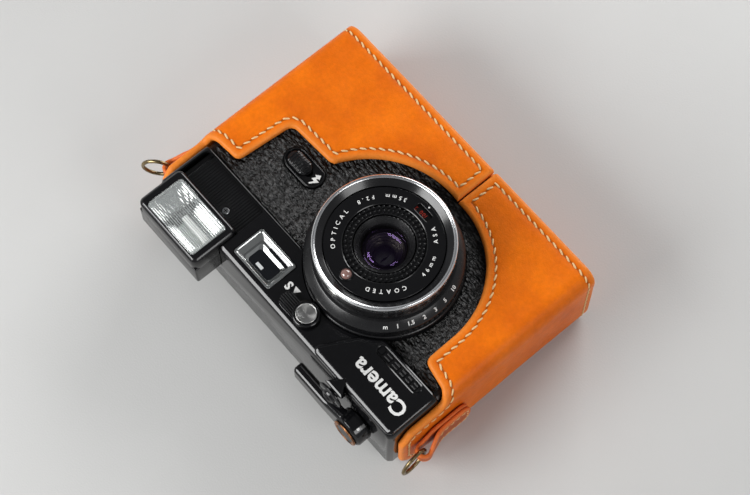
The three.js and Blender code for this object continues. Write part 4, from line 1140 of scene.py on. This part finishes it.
CELL_AT = (0, 16.9)  # the round light cell beside the words
name_holes = [circle(0, 0, 14.3, 128), circle(*CELL_AT, 2.4, 40), rectangle(-3.4, 3.4, -18.8, -15.9, 0.8)]
words = [ring_text(*word[:3], 52.8, *word[3:]) for word in (
    ("COATED", 141, 2.1, True, 2.6), ("OPTICAL", 31, 2.1, True, 2.6), ("46mm", 200, 2.0, False, 2.6),
    ("ASA", 239, 2.1, False, 2.4), ("35mm", 306, 2.0, False, 2.2), ("F2.8", 341, 2.0, False, 2.4))]
make("ring_names", [
    (plate(circle(0, 0, 20.7, 160), 51.7, 52.75, 0.3, name_holes), GLOSS), (joined(words), WHITE),
    (ridge(14.52, 52.68, 0.22, 0.16), RIM_BLACK),
    (plate([(-0.4, -19.9), (0, -20.3), (0.4, -19.9), (0, -19.5)], 52.7, 52.85, 0), WHITE),
], "name_ring", "name_black")

TEETH = 46
teeth = [moved(tooth, turn=2 * math.pi * k / TEETH) for k in range(TEETH) for tooth in (
    block(12.7, 13.85, -0.62, 0.62, 52.1, 53.0, 0.5), block(11.1, 12.3, -0.5, 0.5, 52.1, 52.95, 0.42))]
speeds = [ring_text(text, angle, 2.0, 51.25, False, 0.8) for text, angle in (
    ("25", 240), ("50", 255), ("100", 270), ("200", 285), ("400", 300))]
make("ring_speed", [
    (turned([(10.9, 50.0, 0.1), (13.9, 50.0, 0.1), (13.9, 50.2, 0), (20.2, 50.2, 0.1), (20.2, 51.2, 0.1),
             (13.9, 51.2, 0), (13.9, 52.2, 0.2), (10.9, 52.2, 0.2)]), RING_BLACK),
    (joined(teeth), GLOSS), (joined(speeds), RED),
], "asa_ring", "lens_black", "asa")

make("cell_dome", [
    (lathe([(0, 51.7), (2.1, 51.7), (2.1, 52.7)] + arc(0, 52.0, 2.0, 22, 90, 8), 40, CELL_AT), CELL_GLASS),
    (turned([(1.95, 52.5, 0), (2.45, 52.5, 0.05), (2.45, 53.05, 0.12), (1.95, 52.9, 0)], 40, CELL_AT),
     RIM_BLACK),
], "cds_window", "sensor_glass")
make("retainer", [
    (turned([(8.1, 46, 0.1), (10.5, 46, 0.1), (10.5, 51.9, 0.2), (10.1, 52.1, 0.1), (8.35, 49.7, 0.1),
             (8.1, 49.2, 0.1)]), RING_BLACK),
    (joined([ridge(r, z, 0.1, 0.16) for r, z in ((8.8, 50.25), (9.3, 50.95), (9.8, 51.65))]), MATT),
], "front_retainer", "lens_black")
make("cell_baffle", [
    (lathe([(8.1, 38.9), (18.2, 38.9), (18.2, 39.9), (10.4, 39.9), (10.4, 45.6), (7.4, 45.6), (7.1, 45.0),
            (6.7, 44.8), (6.6, 44.3), (5.9, 43.9), (5.8, 43.5), (5.0, 43.0), (4.9, 42.7), (4.1, 42.2),
            (3.6, 41.6), (8.1, 41.2), (8.1, 38.9)]), BAFFLE),
], "lens_cell", "lens_black")
RADIUS = 12.6  # of the front glass
bulge = [(r, 51.3 - RADIUS + math.sqrt(RADIUS ** 2 - r ** 2)) for r in np.linspace(7.8, 0, 20)]
make("glass_front", [(lathe([(0, 46.45), (6.2, 46.6), (7.4, 46.8), (7.8, 47.2)] + bulge, 128), LENS_GLASS)],
     "front_element", "lens_glass", crease=60)

# ---------------- nodes carried over as they are

CARRIED = {
    BOARD: ["case_base_block"], SUEDE: ["case_base_lining"], BRASS: ["case_screw_bush"],
    GLOSS: ["bottom_cover"], GREEN: ["circuit_board"],
    SATIN: ["front_shell", "battery_door", "film_door", "cassette_housing"],
    STEEL: ["tripod_socket", "pressure_plate", "rewind_crank", "shutter_blade_a", "shutter_blade_b"],
    ALLOY: ["chassis", "shutter_housing"], MATT: ["takeup_spool", "sprocket_shaft", "viewfinder_tunnel"],
    FINDER_GLASS: ["viewfinder_objective"], LENS_GLASS: ["rear_element"],
    JACKET: ["battery_back", "battery_front", "flash_capacitor"],
}
for material, names in CARRIED.items():
    for name in names:
        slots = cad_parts[name].data.materials
        slots.clear()
        slots.append(material)

# ---------------- floor, light and camera

n = Nodes("pale_floor")
n.shade(Base_Color=n.mix(n.noise(60, 3), (0.53, 0.53, 0.52), (0.57, 0.57, 0.56)), Roughness=0.75,
        Normal=n.bump(n.noise(0.7, 3), 0.05))
REACH = 3000.0
corners = np.array(rectangle(-REACH, REACH, -REACH, REACH))
floor = solid("floor", (lifted(corners, 0), [(0, 1, 2, 3)]))
floor.materials.append(n.material)
placed("floor", floor)


def softbox(name, place, size, watts):
    """A rectangular soft light, in metres, aimed at the middle of the object."""
    light = bpy.data.lights.new(name, "AREA")
    light.shape = "RECTANGLE"
    light.size, light.size_y = size
    light.energy = watts
    obj = placed(name, light)
    obj.location = place
    obj.rotation_euler = (Vector((0.01, 0.0, 0.02)) - Vector(place)).to_track_quat("-Z", "Y").to_euler()


softbox("key", (0.20, 0.55, 0.42), (0.50, 0.30), 5.0)
softbox("low", (0.17, -0.50, 0.26), (0.40, 0.26), 2.5)
softbox("fill", (-0.60, 0.00, 0.46), (0.30, 0.30), 1.5)
world = bpy.data.worlds.new("studio")
world.use_nodes = True
sky = world.node_tree.nodes
height = sky.new("ShaderNodeSeparateXYZ")
glow = sky.new("ShaderNodeValToRGB")
glow.color_ramp.elements.new(0.45)
for element, (place, grey) in zip(glow.color_ramp.elements, ((0.0, 0.38), (0.45, 0.25), (0.85, 0.12))):
    element.position, element.color = place, (grey, grey * 1.01, grey * 1.04, 1)
wire = world.node_tree.links.new
wire(sky.new("ShaderNodeTexCoord").outputs["Generated"], height.inputs[0])
wire(height.outputs["Z"], glow.inputs["Fac"])
wire(glow.outputs["Color"], sky["Background"].inputs["Color"])
bpy.context.scene.world = world
bpy.context.scene.view_settings.view_transform = "Standard"

camera = bpy.data.cameras.new("camera")
camera.lens, camera.sensor_width = 96, 36
camera.clip_start, camera.clip_end = 0.01, 10
viewer = placed("camera", camera)
right, up = Vector((-0.6509, -0.7592, 0)), Vector((0.7058, -0.6051, 0.3686))
back = right.cross(up).normalized()
axes = Matrix((right.normalized(), back.cross(right).normalized(), back)).transposed()
viewer.matrix_world = Matrix.Translation(Vector((-186.6, 164.2, 675.8)) * MM) @ axes.to_4x4()
bpy.context.scene.camera = viewer

bpy.context.view_layer.update()
